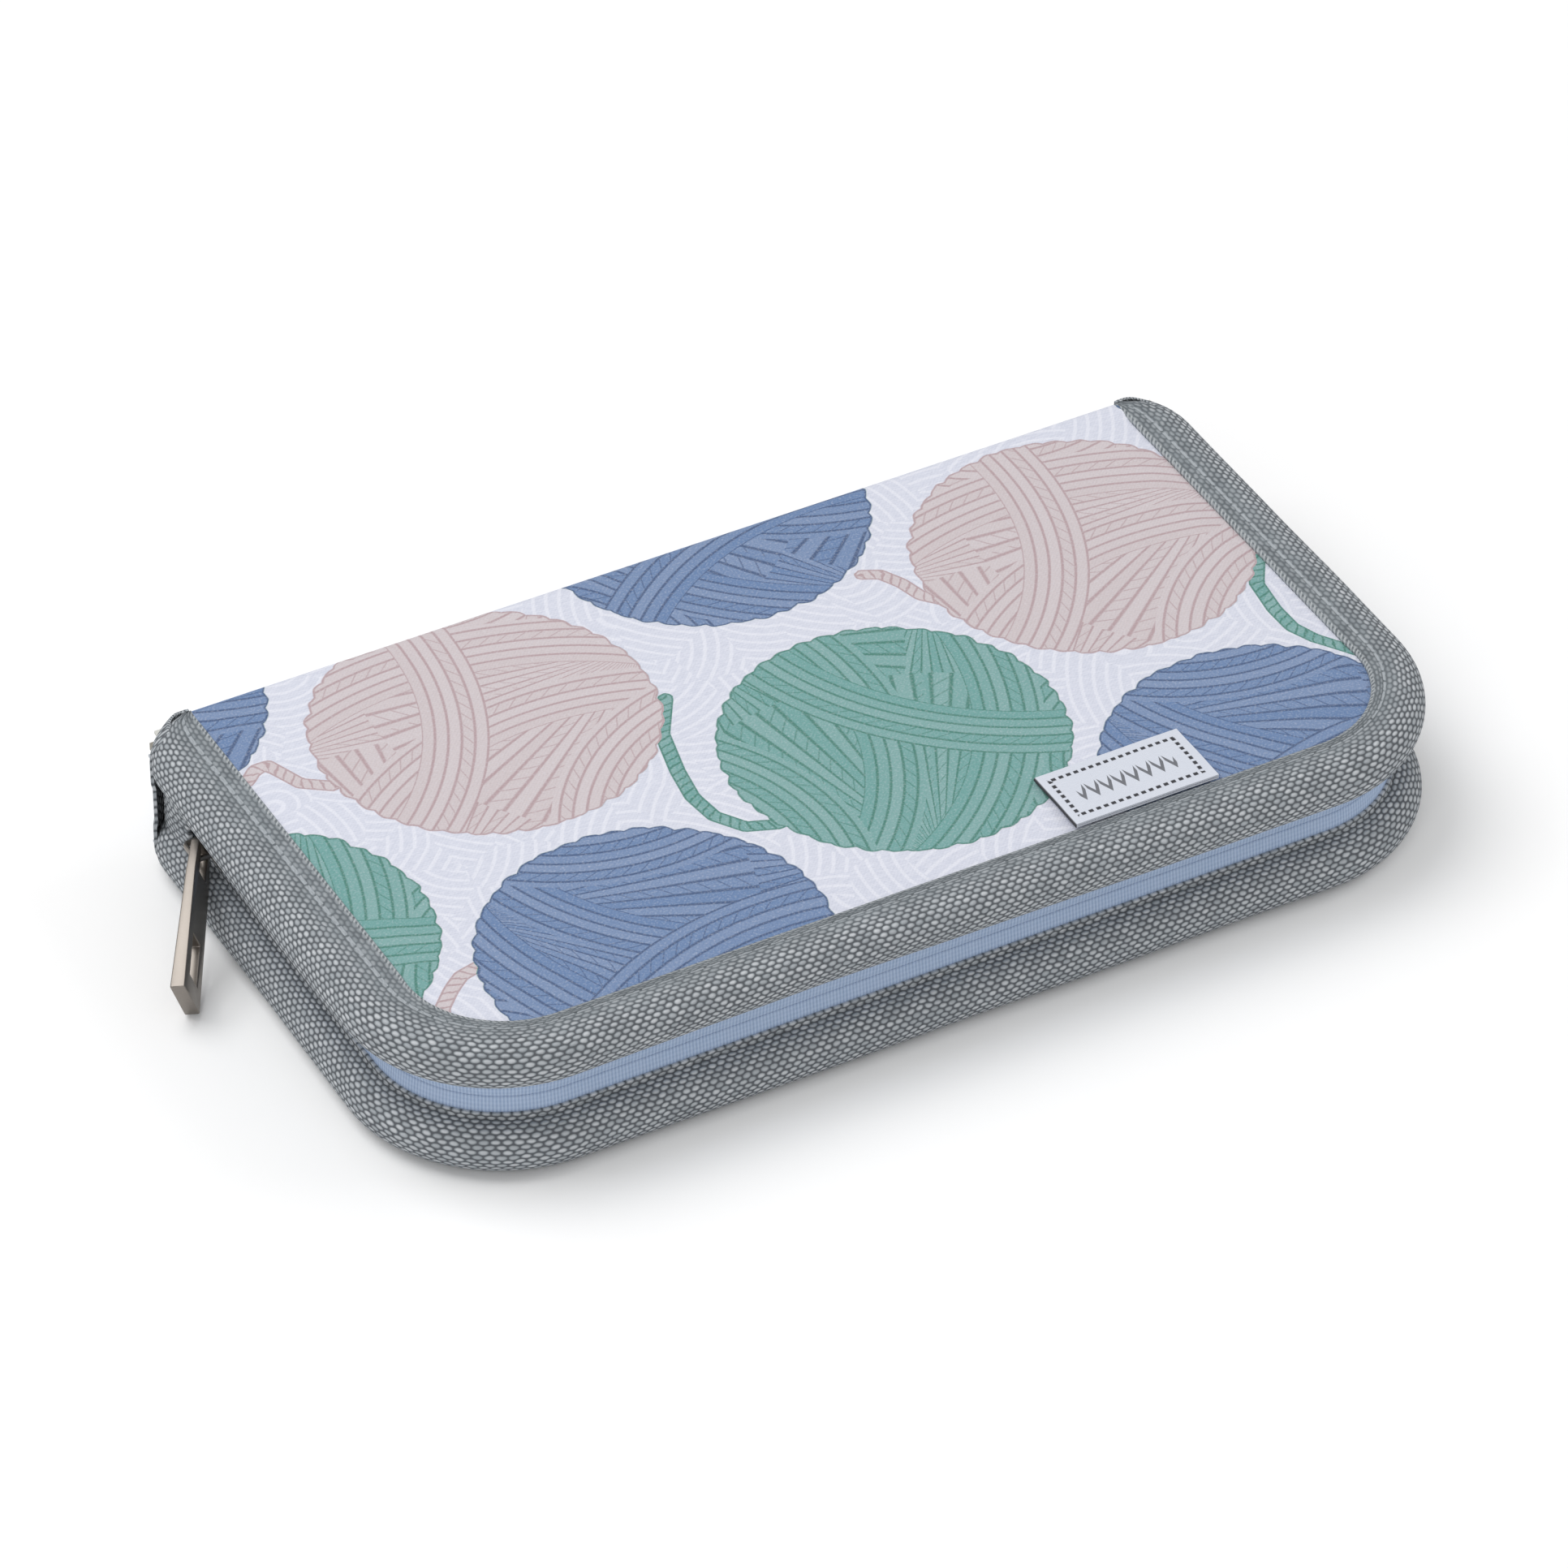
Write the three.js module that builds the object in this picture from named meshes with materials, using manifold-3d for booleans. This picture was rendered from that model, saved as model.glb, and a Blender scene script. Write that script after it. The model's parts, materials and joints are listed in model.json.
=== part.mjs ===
// An interchangeable knitting needle set in its zip-around case, closed and lying on its base.
// Millimetres, +Z up. The origin is the middle of the base's underside: X runs along the case,
// +Y points to the spine, and the zip runs round the other three sides.
import * as THREE from "three";
import { mergeVertices } from "three/addons/utils/BufferGeometryUtils.js";
import Module from "manifold-3d";

// ---- Overall sizes -------------------------------------------------------------------------
const CASE_LENGTH = 210;
const CASE_DEPTH = 113;
const CASE_HEIGHT = 28.5;
const FRONT_CORNER_RADIUS = 30;
const GAP = 0.3; // between pieces that touch

// ---- Sheets that make up the covers, from the outside in ------------------------------------
const COVER_THICKNESS = 0.8;
const PADDING_THICKNESS = 1;
const BOARD_THICKNESS = 1.5;
const LINING_THICKNESS = 0.5;
const BACK_CORNER_RADIUS = 3;

// ---- Webbing binding: a flange on the cover, a roll round the edge and a lip at the zip -------
const ROLL_RADIUS = 5;
const WEBBING_THICKNESS = 1;
const SIDE_BINDING_WIDTH = 11.2;
const FRONT_BINDING_WIDTH = 9;
const BINDING_LIP = 1.2; // height of the lip above the roll
const LIP_THICKNESS = 0.7;
const ROLL_STEPS = 8;
const CORNER_STEPS = 8;

// ---- Zip -----------------------------------------------------------------------------------
const TAPE_RECESS = 1; // how far the tape stands in from the roll's middle
const TAPE_THICKNESS = 0.8;
const TAPE_HEIGHT = 7.6;
const COIL_DEPTH = 1;
const COIL_HEIGHT = 1.8;
const PARTING_GAP = 1.2; // between the two halves of the zip
const SLIDER_FROM_BACK = 20.5; // the slider's middle, from the back of the case
const SLIDER_LENGTH = 9;
const PLATE_THICKNESS = 0.8;
const PLATE_CLEARANCE = 0.4;
const SLIDER_CLEARANCE = 0.2; // to the lips and to the two halves of the zip
const POST_LENGTH = 2;
const BAIL_LENGTH = 5.6;
const BAIL_REACH = 3.9;
const BAIL_BAR = 0.8;
const BAIL_WIDTH = 1;
const STOP_SIZE = new THREE.Vector3(1.2, 3, 1.6);

// ---- Pull tab: it leans from the bail down to the table ---------------------------------------
const PULL_LENGTH = 31.6; // from its pivot to its free end
const PULL_NECK_WIDTH = 6.6;
const PULL_NECK_CHAMFER = 1.3;
const PULL_SHOULDER = 7; // where the neck reaches the full taper
const PULL_SHOULDER_WIDTH = 8.4;
const PULL_END_WIDTH = 9.4;
const PULL_NECK_THICKNESS = 1.5;
const PULL_END_THICKNESS = 2.7;
const PULL_TOP_BAR = 1.5;
const PULL_SLOT_LENGTH = 5.6;
const PULL_SLOT_WIDTH = 3.4;
const PULL_WINDOW_LENGTH = 8.4;
const PULL_WINDOW_WIDTH = 4.6;
const PULL_WINDOW_MARGIN = 4;
const PULL_LIFT = 0.6; // the pivot's height above the parting line
const PULL_HEADING = 58; // degrees from straight out towards the front
const PULL_FLOOR_CLEARANCE = 0.12;
const PULL_ROLL = -12;

// ---- Spine and the webbing at its two ends ---------------------------------------------------
const SPINE_BOARD_MARGIN = 3.2;
const SPINE_LINING_MARGIN = 5.6;
const TRIM_REACH = 5.5; // how far the end trims wrap round to the sides
const GUSSET_INSET = 2.9;
const GUSSET_THICKNESS = 1;
const GUSSET_LENGTH = 9.4;

// ---- Label ---------------------------------------------------------------------------------
const LABEL_WIDTH = 28.8;
const LABEL_LENGTH = 14.5;
const LABEL_THICKNESS = 0.7;
const LABEL_PLACE = 40.2;

// ---- Needle tips and their channels ---------------------------------------------------------
const TIP_DIAMETERS = [8, 7, 6, 5, 4];
const TIP_LENGTH = 127; // ferrule and shaft together
const FERRULE_LENGTH = 12;
const FERRULE_WALL = 0.9;
const FERRULE_BORE_DEPTH = 7;
const POINT_LENGTH = 18;
const POINT_RADIUS = 0.8;
const CHANNEL_FRONT_MARGIN = 1.9; // from the zip to the first channel
const CHANNEL_BACK_MARGIN = 2.3; // from the spine to the last channel
const CHANNEL_LENGTH = 92;
const TIP_DEPTH_IN_CHANNEL = 3;
const CHANNEL_CLEARANCE = 0.35;
const CHANNEL_FABRIC = 0.5;
const ARCH_STEPS = 8;
const TURNED_SIDES = 12;

// ---- Cables, key and stoppers in the lid's pocket ---------------------------------------------
const POCKET_FRONT_MARGIN = 4.4; // from the zip to the pocket's front
const POCKET_DEPTH = 74;
const POCKET_FABRIC = 0.6;
const COIL_RING_RADIUS = 28;
const COIL_RING_SECTION = 2.4;
const RING_SIDES = 8;
const RING_STEPS = 40;
const RING_FRONT_CLEARANCE = 5;
const RING_SPACING = 3.2; // from the pocket's middle to each ring
const CONNECTOR_LENGTH = 13;
const CONNECTOR_RADIUS = 1.9;
const THREAD_RADIUS = 1.1;
const THREAD_LENGTH = 5;
const CONNECTOR_OFFSET = 17;
const KEY_PIN_RADIUS = 0.6;
const KEY_PIN_LENGTH = 24;
const KEY_HANDLE_RADIUS = 2.2;
const KEY_HANDLE_LENGTH = 10;
const STOPPER_RADIUS = 3.4;
const STOPPER_LENGTH = 9;
const STOPPER_SPACING = 1;

// ---- Heights and places worked out from the sizes above ---------------------------------------
const HALF_LENGTH = CASE_LENGTH / 2;
const HALF_DEPTH = CASE_DEPTH / 2;
const PARTING = CASE_HEIGHT / 2;
const COVER_BACK = HALF_DEPTH - COVER_THICKNESS - GAP;
const TAPE_INSET = ROLL_RADIUS + TAPE_RECESS;
const PADDING_BASE = Math.max(COVER_THICKNESS, WEBBING_THICKNESS) + GAP;
const BOARD_BASE = PADDING_BASE + PADDING_THICKNESS + GAP;
const LINING_BASE = BOARD_BASE + BOARD_THICKNESS + GAP;
const LINING_TOP = LINING_BASE + LINING_THICKNESS;
const BOARD_BACK = COVER_BACK - BOARD_THICKNESS - GAP;
const LINING_BACK = BOARD_BACK - LINING_THICKNESS - GAP;
const TAPE_BACK = LINING_BACK - 2;
const COIL_INSET = TAPE_INSET + TAPE_THICKNESS + GAP;
const TAPE_TOP = PARTING - PARTING_GAP / 2;
const ROLL_TOP = 2 * ROLL_RADIUS;
const LIP_TOP = ROLL_TOP + BINDING_LIP;
const ZIP_CLEAR_INSET = COIL_INSET + COIL_DEPTH + GAP;
const SLIDER_PLACE = HALF_DEPTH - SLIDER_FROM_BACK;
const SLIDER_HEIGHT = 2 * (PARTING - LIP_TOP - SLIDER_CLEARANCE);

// ---- Materials -----------------------------------------------------------------------------
const finish = (color, roughness, metalness = 0) =>
  new THREE.MeshStandardMaterial({ color, roughness, metalness });
const MATERIALS = {
  print: finish(0xd7d9e4, 0.85),
  webbing: finish(0x8c9396, 0.8),
  tape: finish(0xa0b4d7, 0.75),
  lining: finish(0x9fb0c8, 0.9),
  foam: finish(0xe6e6e2, 0.95),
  board: finish(0x55585c, 0.6),
  nylon: finish(0xb4c3dd, 0.45),
  nickel: finish(0x77706a, 0.3, 1),
  label: finish(0xdcdfe6, 0.7),
  wood: finish(0xc99a62, 0.45),
  brass: finish(0xb9975b, 0.3, 1),
  cable: finish(0x6d86a8, 0.35),
  plastic: finish(0x49515c, 0.4),
};

const part = new THREE.Group();

// Adds one named piece to the part, or to a group inside it.
function addPiece(name, geometry, material, group = part) {
  const mesh = new THREE.Mesh(geometry, MATERIALS[material]);
  mesh.name = name;
  group.add(mesh);
  return mesh;
}

// ---- Solids cut and joined with manifold-3d ---------------------------------------------------
const wasm = await Module();
wasm.setup();

// The closed solid that a three.js geometry bounds.
function solid(geometry) {
  const bare = geometry.clone().deleteAttribute("normal").deleteAttribute("uv");
  const merged = mergeVertices(bare, 1e-3);
  return new wasm.Manifold(
    new wasm.Mesh({
      numProp: 3,
      vertProperties: merged.attributes.position.array,
      triVerts: new Uint32Array(merged.index.array),
    }),
  );
}

// The geometry of a manifold-3d solid.
function surface(shape) {
  const mesh = shape.getMesh();
  const geometry = new THREE.BufferGeometry();
  geometry.setAttribute("position", new THREE.BufferAttribute(mesh.vertProperties, 3));
  geometry.setIndex(new THREE.BufferAttribute(mesh.triVerts, 1));
  geometry.computeVertexNormals();
  return geometry;
}

// A box between two opposite corners.
function box(low, high) {
  const size = high.clone().sub(low);
  const middle = low.clone().add(high).multiplyScalar(0.5);
  return new THREE.BoxGeometry(size.x, size.y, size.z).translate(middle.x, middle.y, middle.z);
}

// ---- The case's outline in plan ---------------------------------------------------------------
// The open path round the three zipped sides, from the back left to the back right. Its corners
// stay concentric, so the same stations at two insets face each other.
function edgePath(sideInset, frontInset, back) {
  const points = [new THREE.Vector2(-HALF_LENGTH + sideInset, back)];
  const radii = new THREE.Vector2(FRONT_CORNER_RADIUS - sideInset, FRONT_CORNER_RADIUS - frontInset);
  [-1, 1].forEach((side) => {
    const middle = new THREE.Vector2(
      side * (HALF_LENGTH - FRONT_CORNER_RADIUS),
      -HALF_DEPTH + FRONT_CORNER_RADIUS,
    );
    const start = side < 0 ? Math.PI : 1.5 * Math.PI;
    for (let step = 0; step <= CORNER_STEPS; step++) {
      const angle = start + (step / CORNER_STEPS) * (Math.PI / 2);
      points.push(
        new THREE.Vector2(middle.x + radii.x * Math.cos(angle), middle.y + radii.y * Math.sin(angle)),
      );
    }
  });
  points.push(new THREE.Vector2(HALF_LENGTH - sideInset, back));
  return points;
}

// A flat sheet over the whole plan, with round corners, between two heights.
function sheet(sideInset, frontInset, back, bottom, thickness) {
  const points = edgePath(sideInset, frontInset, back - BACK_CORNER_RADIUS);
  const shape = new THREE.Shape(points);
  const corner = HALF_LENGTH - sideInset - BACK_CORNER_RADIUS;
  const middle = back - BACK_CORNER_RADIUS;
  shape.absarc(corner, middle, BACK_CORNER_RADIUS, 0, Math.PI / 2, false);
  shape.absarc(-corner, middle, BACK_CORNER_RADIUS, Math.PI / 2, Math.PI, false);
  return new THREE.ExtrudeGeometry(shape, {
    depth: thickness,
    bevelEnabled: false,
    curveSegments: 4,
  }).translate(0, 0, bottom);
}

// An upright band along the zipped sides, between two insets and two heights.
function band(outerInset, thickness, back, bottom, height) {
  const outer = edgePath(outerInset, outerInset, back);
  const innerInset = outerInset + thickness;
  const inner = edgePath(innerInset, innerInset, back).reverse();
  return new THREE.ExtrudeGeometry(new THREE.Shape([...outer, ...inner]), {
    depth: height,
    bevelEnabled: false,
  }).translate(0, 0, bottom);
}

// A closed section swept round the zipped sides. Each section point gives its inset at the sides,
// its inset at the front and its height, and the section runs anticlockwise.
function sweep(section, back) {
  const stations = section.map((point) => edgePath(point.side, point.front, back));
  const count = section.length;
  const positions = [];
  const steps = stations[0].length;
  for (let step = 0; step < steps; step++) {
    section.forEach((point, index) => {
      positions.push(stations[index][step].x, stations[index][step].y, point.height);
    });
  }
  const indices = [];
  for (let step = 0; step + 1 < steps; step++) {
    for (let index = 0; index < count; index++) {
      const here = step * count + index;
      const next = step * count + ((index + 1) % count);
      indices.push(here, next, here + count, next, next + count, here + count);
    }
  }
  const outline = section.map((point) => new THREE.Vector2(point.side, point.height));
  const last = (steps - 1) * count;
  THREE.ShapeUtils.triangulateShape(outline, []).forEach(([a, b, c]) => {
    indices.push(a, c, b, last + a, last + b, last + c);
  });
  const geometry = new THREE.BufferGeometry();
  geometry.setAttribute("position", new THREE.Float32BufferAttribute(positions, 3));
  geometry.setIndex(indices);
  geometry.computeVertexNormals();
  return geometry;
}

// The inset at which a sheet clears the inside of the roll at a height.
function rollInside(height) {
  const radius = ROLL_RADIUS - WEBBING_THICKNESS;
  return ROLL_RADIUS - Math.sqrt(radius ** 2 - (ROLL_RADIUS - height) ** 2) + GAP;
}

// How far from the case's middle a straight edge at a place along Y can run inside the zip.
function clearLength(place) {
  const radius = FRONT_CORNER_RADIUS - ZIP_CLEAR_INSET;
  const beyond = Math.max(0, FRONT_CORNER_RADIUS - HALF_DEPTH - place);
  return HALF_LENGTH - FRONT_CORNER_RADIUS + Math.sqrt(radius ** 2 - beyond ** 2);
}

// Turns a piece of the base over to make its partner in the lid.
function mirrored(geometry) {
  const turned = geometry.index ? geometry.toNonIndexed() : geometry.clone();
  turned.scale(1, 1, -1).translate(0, 0, CASE_HEIGHT);
  const place = turned.getAttribute("position");
  const first = new THREE.Vector3();
  const second = new THREE.Vector3();
  for (let index = 0; index < place.count; index += 3) {
    first.fromBufferAttribute(place, index + 1);
    second.fromBufferAttribute(place, index + 2);
    place.setXYZ(index + 1, second.x, second.y, second.z);
    place.setXYZ(index + 2, first.x, first.y, first.z);
  }
  turned.computeVertexNormals();
  return turned;
}

// ---- Covers, bindings and zip, which the base and the lid share ---------------------------------
// The binding's section: flange under the cover's edge, half-round roll, then the lip to the tape.
function bindingSection() {
  const flange = SIDE_BINDING_WIDTH - ROLL_RADIUS;
  const frontShare = (FRONT_BINDING_WIDTH - ROLL_RADIUS) / flange;
  const point = (inset, height) => ({
    side: inset,
    front: inset > ROLL_RADIUS && height < ROLL_RADIUS
      ? ROLL_RADIUS + (inset - ROLL_RADIUS) * frontShare
      : inset,
    height,
  });
  const roll = (radius, backwards) => {
    const points = [];
    for (let step = 0; step <= ROLL_STEPS; step++) {
      const share = backwards ? 1 - step / ROLL_STEPS : step / ROLL_STEPS;
      const angle = -Math.PI / 2 - share * Math.PI;
      points.push(
        point(ROLL_RADIUS + radius * Math.cos(angle), ROLL_RADIUS + radius * Math.sin(angle)),
      );
    }
    return points;
  };
  const lipInset = TAPE_INSET - GAP;
  return [
    point(SIDE_BINDING_WIDTH, 0),
    point(SIDE_BINDING_WIDTH, WEBBING_THICKNESS),
    ...roll(ROLL_RADIUS - WEBBING_THICKNESS, false),
    point(lipInset, LIP_TOP),
    point(lipInset - LIP_THICKNESS, LIP_TOP),
    ...roll(ROLL_RADIUS, true),
  ];
}

// A sheet that fills the case's plan and clears the inside of the roll.
function wholeSheet(back, bottom, thickness) {
  const inset = rollInside(bottom);
  return sheet(inset, inset, back, bottom, thickness);
}

const bindingWindow = (clearance) => [SIDE_BINDING_WIDTH + clearance, FRONT_BINDING_WIDTH + clearance];

const shells = {
  cover: [sheet(...bindingWindow(GAP), COVER_BACK, 0, COVER_THICKNESS), "print"],
  padding: [wholeSheet(COVER_BACK, PADDING_BASE, PADDING_THICKNESS), "foam"],
  board: [wholeSheet(BOARD_BACK, BOARD_BASE, BOARD_THICKNESS), "board"],
  lining: [wholeSheet(LINING_BACK, LINING_BASE, LINING_THICKNESS), "lining"],
  binding: [sweep(bindingSection(), COVER_BACK), "webbing"],
  zip_tape: [
    band(TAPE_INSET, TAPE_THICKNESS, TAPE_BACK, TAPE_TOP - TAPE_HEIGHT, TAPE_HEIGHT),
    "tape",
  ],
  zip_coil: [
    band(COIL_INSET, COIL_DEPTH, TAPE_BACK, TAPE_TOP - COIL_HEIGHT, COIL_HEIGHT),
    "nylon",
  ],
};
Object.entries(shells).forEach(([name, [geometry, material]]) => {
  addPiece(`base_${name}`, geometry, material);
  addPiece(`lid_${name}`, mirrored(geometry), material);
});

// ---- Gussets at the zip's two ends, one leaf on the base and one on the lid ----------------------
const gussetBack = COVER_BACK - TRIM_REACH + GAP;
[["left", -1], ["right", 1]].forEach(([name, side]) => {
  const outer = side * (HALF_LENGTH - GUSSET_INSET);
  const inner = side * (HALF_LENGTH - GUSSET_INSET - GUSSET_THICKNESS);
  const leaf = box(
    new THREE.Vector3(Math.min(outer, inner), gussetBack - GUSSET_LENGTH, ROLL_TOP + GAP),
    new THREE.Vector3(Math.max(outer, inner), gussetBack, TAPE_TOP),
  );
  addPiece(`gusset_lower_${name}`, leaf, "webbing");
  addPiece(`gusset_upper_${name}`, mirrored(leaf), "webbing");
});

// ---- Spine -----------------------------------------------------------------------------------
const spineCoverEnd = HALF_LENGTH - SIDE_BINDING_WIDTH;
addPiece(
  "spine_cover",
  box(
    new THREE.Vector3(-spineCoverEnd, COVER_BACK + GAP, 0),
    new THREE.Vector3(spineCoverEnd, HALF_DEPTH, CASE_HEIGHT),
  ),
  "print",
);
addPiece(
  "spine_board",
  box(
    new THREE.Vector3(-spineCoverEnd, COVER_BACK - BOARD_THICKNESS, SPINE_BOARD_MARGIN),
    new THREE.Vector3(spineCoverEnd, COVER_BACK, CASE_HEIGHT - SPINE_BOARD_MARGIN),
  ),
  "board",
);
addPiece(
  "spine_lining",
  box(
    new THREE.Vector3(-spineCoverEnd, BOARD_BACK - LINING_THICKNESS, SPINE_LINING_MARGIN),
    new THREE.Vector3(spineCoverEnd, BOARD_BACK, CASE_HEIGHT - SPINE_LINING_MARGIN),
  ),
  "lining",
);

// The webbing over one end of the spine: a strip up the back and a hook round to the side.
function spineTrim(side) {
  const across = (low, high) => (side < 0 ? [-high, -low] : [low, high]);
  const [stripLow, stripHigh] = across(spineCoverEnd + GAP, HALF_LENGTH - WEBBING_THICKNESS);
  const strip = box(
    new THREE.Vector3(stripLow, COVER_BACK + GAP, 0),
    new THREE.Vector3(stripHigh, HALF_DEPTH, CASE_HEIGHT),
  );
  const [hookLow, hookHigh] = across(HALF_LENGTH - 2 * WEBBING_THICKNESS, HALF_LENGTH - WEBBING_THICKNESS);
  const hook = box(
    new THREE.Vector3(hookLow, COVER_BACK + 2 * GAP - TRIM_REACH, ROLL_TOP + GAP),
    new THREE.Vector3(hookHigh, COVER_BACK + 2 * GAP, CASE_HEIGHT - ROLL_TOP - GAP),
  );
  return surface(solid(strip).add(solid(hook)));
}
addPiece("spine_trim_left", spineTrim(-1), "webbing");
addPiece("spine_trim_right", spineTrim(1), "webbing");

// ---- Folded label sewn under the front binding, lying on the lid ----------------------------------
const labelFront = -HALF_DEPTH + FRONT_BINDING_WIDTH;
addPiece(
  "woven_label",
  box(
    new THREE.Vector3(LABEL_PLACE - LABEL_WIDTH / 2, labelFront, CASE_HEIGHT + GAP),
    new THREE.Vector3(
      LABEL_PLACE + LABEL_WIDTH / 2,
      labelFront + LABEL_LENGTH,
      CASE_HEIGHT + GAP + LABEL_THICKNESS,
    ),
  ),
  "label",
);

// ---- Zip slider on the left end, with its bail and pull tab --------------------------------------
const tapeOuter = -HALF_LENGTH + TAPE_INSET;
const coilInner = -HALF_LENGTH + COIL_INSET + COIL_DEPTH;
const outerPlate = tapeOuter - PLATE_CLEARANCE - PLATE_THICKNESS;
const innerPlate = coilInner + PLATE_CLEARANCE;
const sliderBack = SLIDER_PLACE + SLIDER_LENGTH / 2;

function sliderBody() {
  const plate = (start) =>
    box(
      new THREE.Vector3(start, SLIDER_PLACE - SLIDER_LENGTH / 2, PARTING - SLIDER_HEIGHT / 2),
      new THREE.Vector3(start + PLATE_THICKNESS, sliderBack, PARTING + SLIDER_HEIGHT / 2),
    );
  const postHeight = PARTING_GAP / 2 - SLIDER_CLEARANCE;
  const post = box(
    new THREE.Vector3(outerPlate, sliderBack - POST_LENGTH, PARTING - postHeight),
    new THREE.Vector3(innerPlate + PLATE_THICKNESS, sliderBack, PARTING + postHeight),
  );
  return surface(solid(plate(outerPlate)).add(solid(plate(innerPlate))).add(solid(post)));
}
addPiece("slider_body", sliderBody(), "nickel");

// The bail is an arch on the outer plate, seen in plan.
function sliderBail() {
  const foot = outerPlate - GAP;
  const shape = new THREE.Shape();
  const half = BAIL_LENGTH / 2;
  shape.moveTo(foot, -half);
  shape.lineTo(foot - BAIL_REACH + BAIL_BAR, -half);
  shape.lineTo(foot - BAIL_REACH, -half + BAIL_BAR);
  shape.lineTo(foot - BAIL_REACH, half - BAIL_BAR);
  shape.lineTo(foot - BAIL_REACH + BAIL_BAR, half);
  shape.lineTo(foot, half);
  shape.lineTo(foot, half - BAIL_BAR);
  shape.lineTo(foot - BAIL_REACH + BAIL_BAR, half - BAIL_BAR);
  shape.lineTo(foot - BAIL_REACH + BAIL_BAR, -half + BAIL_BAR);
  shape.lineTo(foot, -half + BAIL_BAR);
  return new THREE.ExtrudeGeometry(shape, { depth: BAIL_WIDTH, bevelEnabled: false }).translate(
    0,
    SLIDER_PLACE,
    PARTING - BAIL_WIDTH / 2,
  );
}
addPiece("slider_bail", sliderBail(), "nickel");

// The tab lies along +X of its own frame, its width along Y, and grows thicker to its free end.
function pullTab() {
  const rectangle = (start, length, width) => [
    new THREE.Vector2(start, -width / 2),
    new THREE.Vector2(start + length, -width / 2),
    new THREE.Vector2(start + length, width / 2),
    new THREE.Vector2(start, width / 2),
  ];
  const top = -PULL_TOP_BAR / 2;
  const neck = PULL_NECK_WIDTH / 2 - PULL_NECK_CHAMFER;
  const shape = new THREE.Shape([
    new THREE.Vector2(top, -neck),
    new THREE.Vector2(top + PULL_NECK_CHAMFER, -PULL_NECK_WIDTH / 2),
    new THREE.Vector2(PULL_SHOULDER, -PULL_SHOULDER_WIDTH / 2),
    new THREE.Vector2(PULL_LENGTH, -PULL_END_WIDTH / 2),
    new THREE.Vector2(PULL_LENGTH, PULL_END_WIDTH / 2),
    new THREE.Vector2(PULL_SHOULDER, PULL_SHOULDER_WIDTH / 2),
    new THREE.Vector2(top + PULL_NECK_CHAMFER, PULL_NECK_WIDTH / 2),
    new THREE.Vector2(top, neck),
  ]);
  const windowStart = PULL_LENGTH - PULL_WINDOW_MARGIN - PULL_WINDOW_LENGTH;
  shape.holes.push(
    new THREE.Path(rectangle(-top, PULL_SLOT_LENGTH, PULL_SLOT_WIDTH)),
    new THREE.Path(rectangle(windowStart, PULL_WINDOW_LENGTH, PULL_WINDOW_WIDTH)),
  );
  const geometry = new THREE.ExtrudeGeometry(shape, { depth: 1, bevelEnabled: false });
  const place = geometry.getAttribute("position");
  for (let index = 0; index < place.count; index++) {
    const share = (place.getX(index) - top) / (PULL_LENGTH - top);
    const thickness = THREE.MathUtils.lerp(PULL_NECK_THICKNESS, PULL_END_THICKNESS, share);
    place.setZ(index, (place.getZ(index) - 0.5) * thickness);
  }
  geometry.computeVertexNormals();
  return geometry;
}
const pull = new THREE.Group();
const pullPivot = new THREE.Vector3(
  outerPlate - (BAIL_REACH - BAIL_BAR + GAP) / 2,
  SLIDER_PLACE,
  PARTING + PULL_LIFT,
);
pull.position.copy(pullPivot);
// The droop rests the free end's lower edge on the table. The tab turns by its heading about Z, then
// by the droop, then rolls about its own length; its width starts upright.
const pullDrop = pullPivot.z - PULL_END_WIDTH / 2 - PULL_FLOOR_CLEARANCE;
pull.rotation.set(
  THREE.MathUtils.degToRad(90 - PULL_ROLL),
  Math.asin(pullDrop / PULL_LENGTH),
  THREE.MathUtils.degToRad(180 + PULL_HEADING),
  "ZYX",
);
part.add(pull);
addPiece("pull_tab", pullTab(), "nickel", pull);

// The clamp that closes the zip's far end.
const stopOuter = HALF_LENGTH - COIL_INSET - COIL_DEPTH - GAP;
addPiece(
  "zip_end_stop",
  box(
    new THREE.Vector3(stopOuter - STOP_SIZE.x, TAPE_BACK - STOP_SIZE.y, TAPE_TOP - STOP_SIZE.z),
    new THREE.Vector3(stopOuter, TAPE_BACK, TAPE_TOP),
  ),
  "nickel",
);

// ---- Needle tips in stitched channels on the base -------------------------------------------------
const tipFloor = LINING_TOP + GAP;
const channelFront = -HALF_DEPTH + ZIP_CLEAR_INSET + CHANNEL_FRONT_MARGIN - GAP;
const channelBack = LINING_BACK - CHANNEL_BACK_MARGIN;
const channelStart = -clearLength(channelFront);
const tipStart = channelStart + TIP_DEPTH_IN_CHANNEL;

// Turns a profile of (radius, distance along) about the X axis.
function turned(profile, sides = TURNED_SIDES) {
  const points = profile.map(([radius, along]) => new THREE.Vector2(radius, along));
  return new THREE.LatheGeometry(points, sides).rotateZ(-Math.PI / 2);
}

function ferrule(radius) {
  const bore = radius - FERRULE_WALL;
  return turned([
    [0, FERRULE_BORE_DEPTH],
    [bore, FERRULE_BORE_DEPTH],
    [bore, 0],
    [radius, 0],
    [radius, FERRULE_LENGTH],
    [0, FERRULE_LENGTH],
  ]);
}

function shaft(radius) {
  const length = TIP_LENGTH - FERRULE_LENGTH - GAP;
  return turned([
    [0, 0],
    [radius, 0],
    [radius, length - POINT_LENGTH],
    [(radius + POINT_RADIUS) / 2, length - POINT_LENGTH * 0.4],
    [POINT_RADIUS, length - POINT_RADIUS],
    [0, length],
  ]);
}

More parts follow.
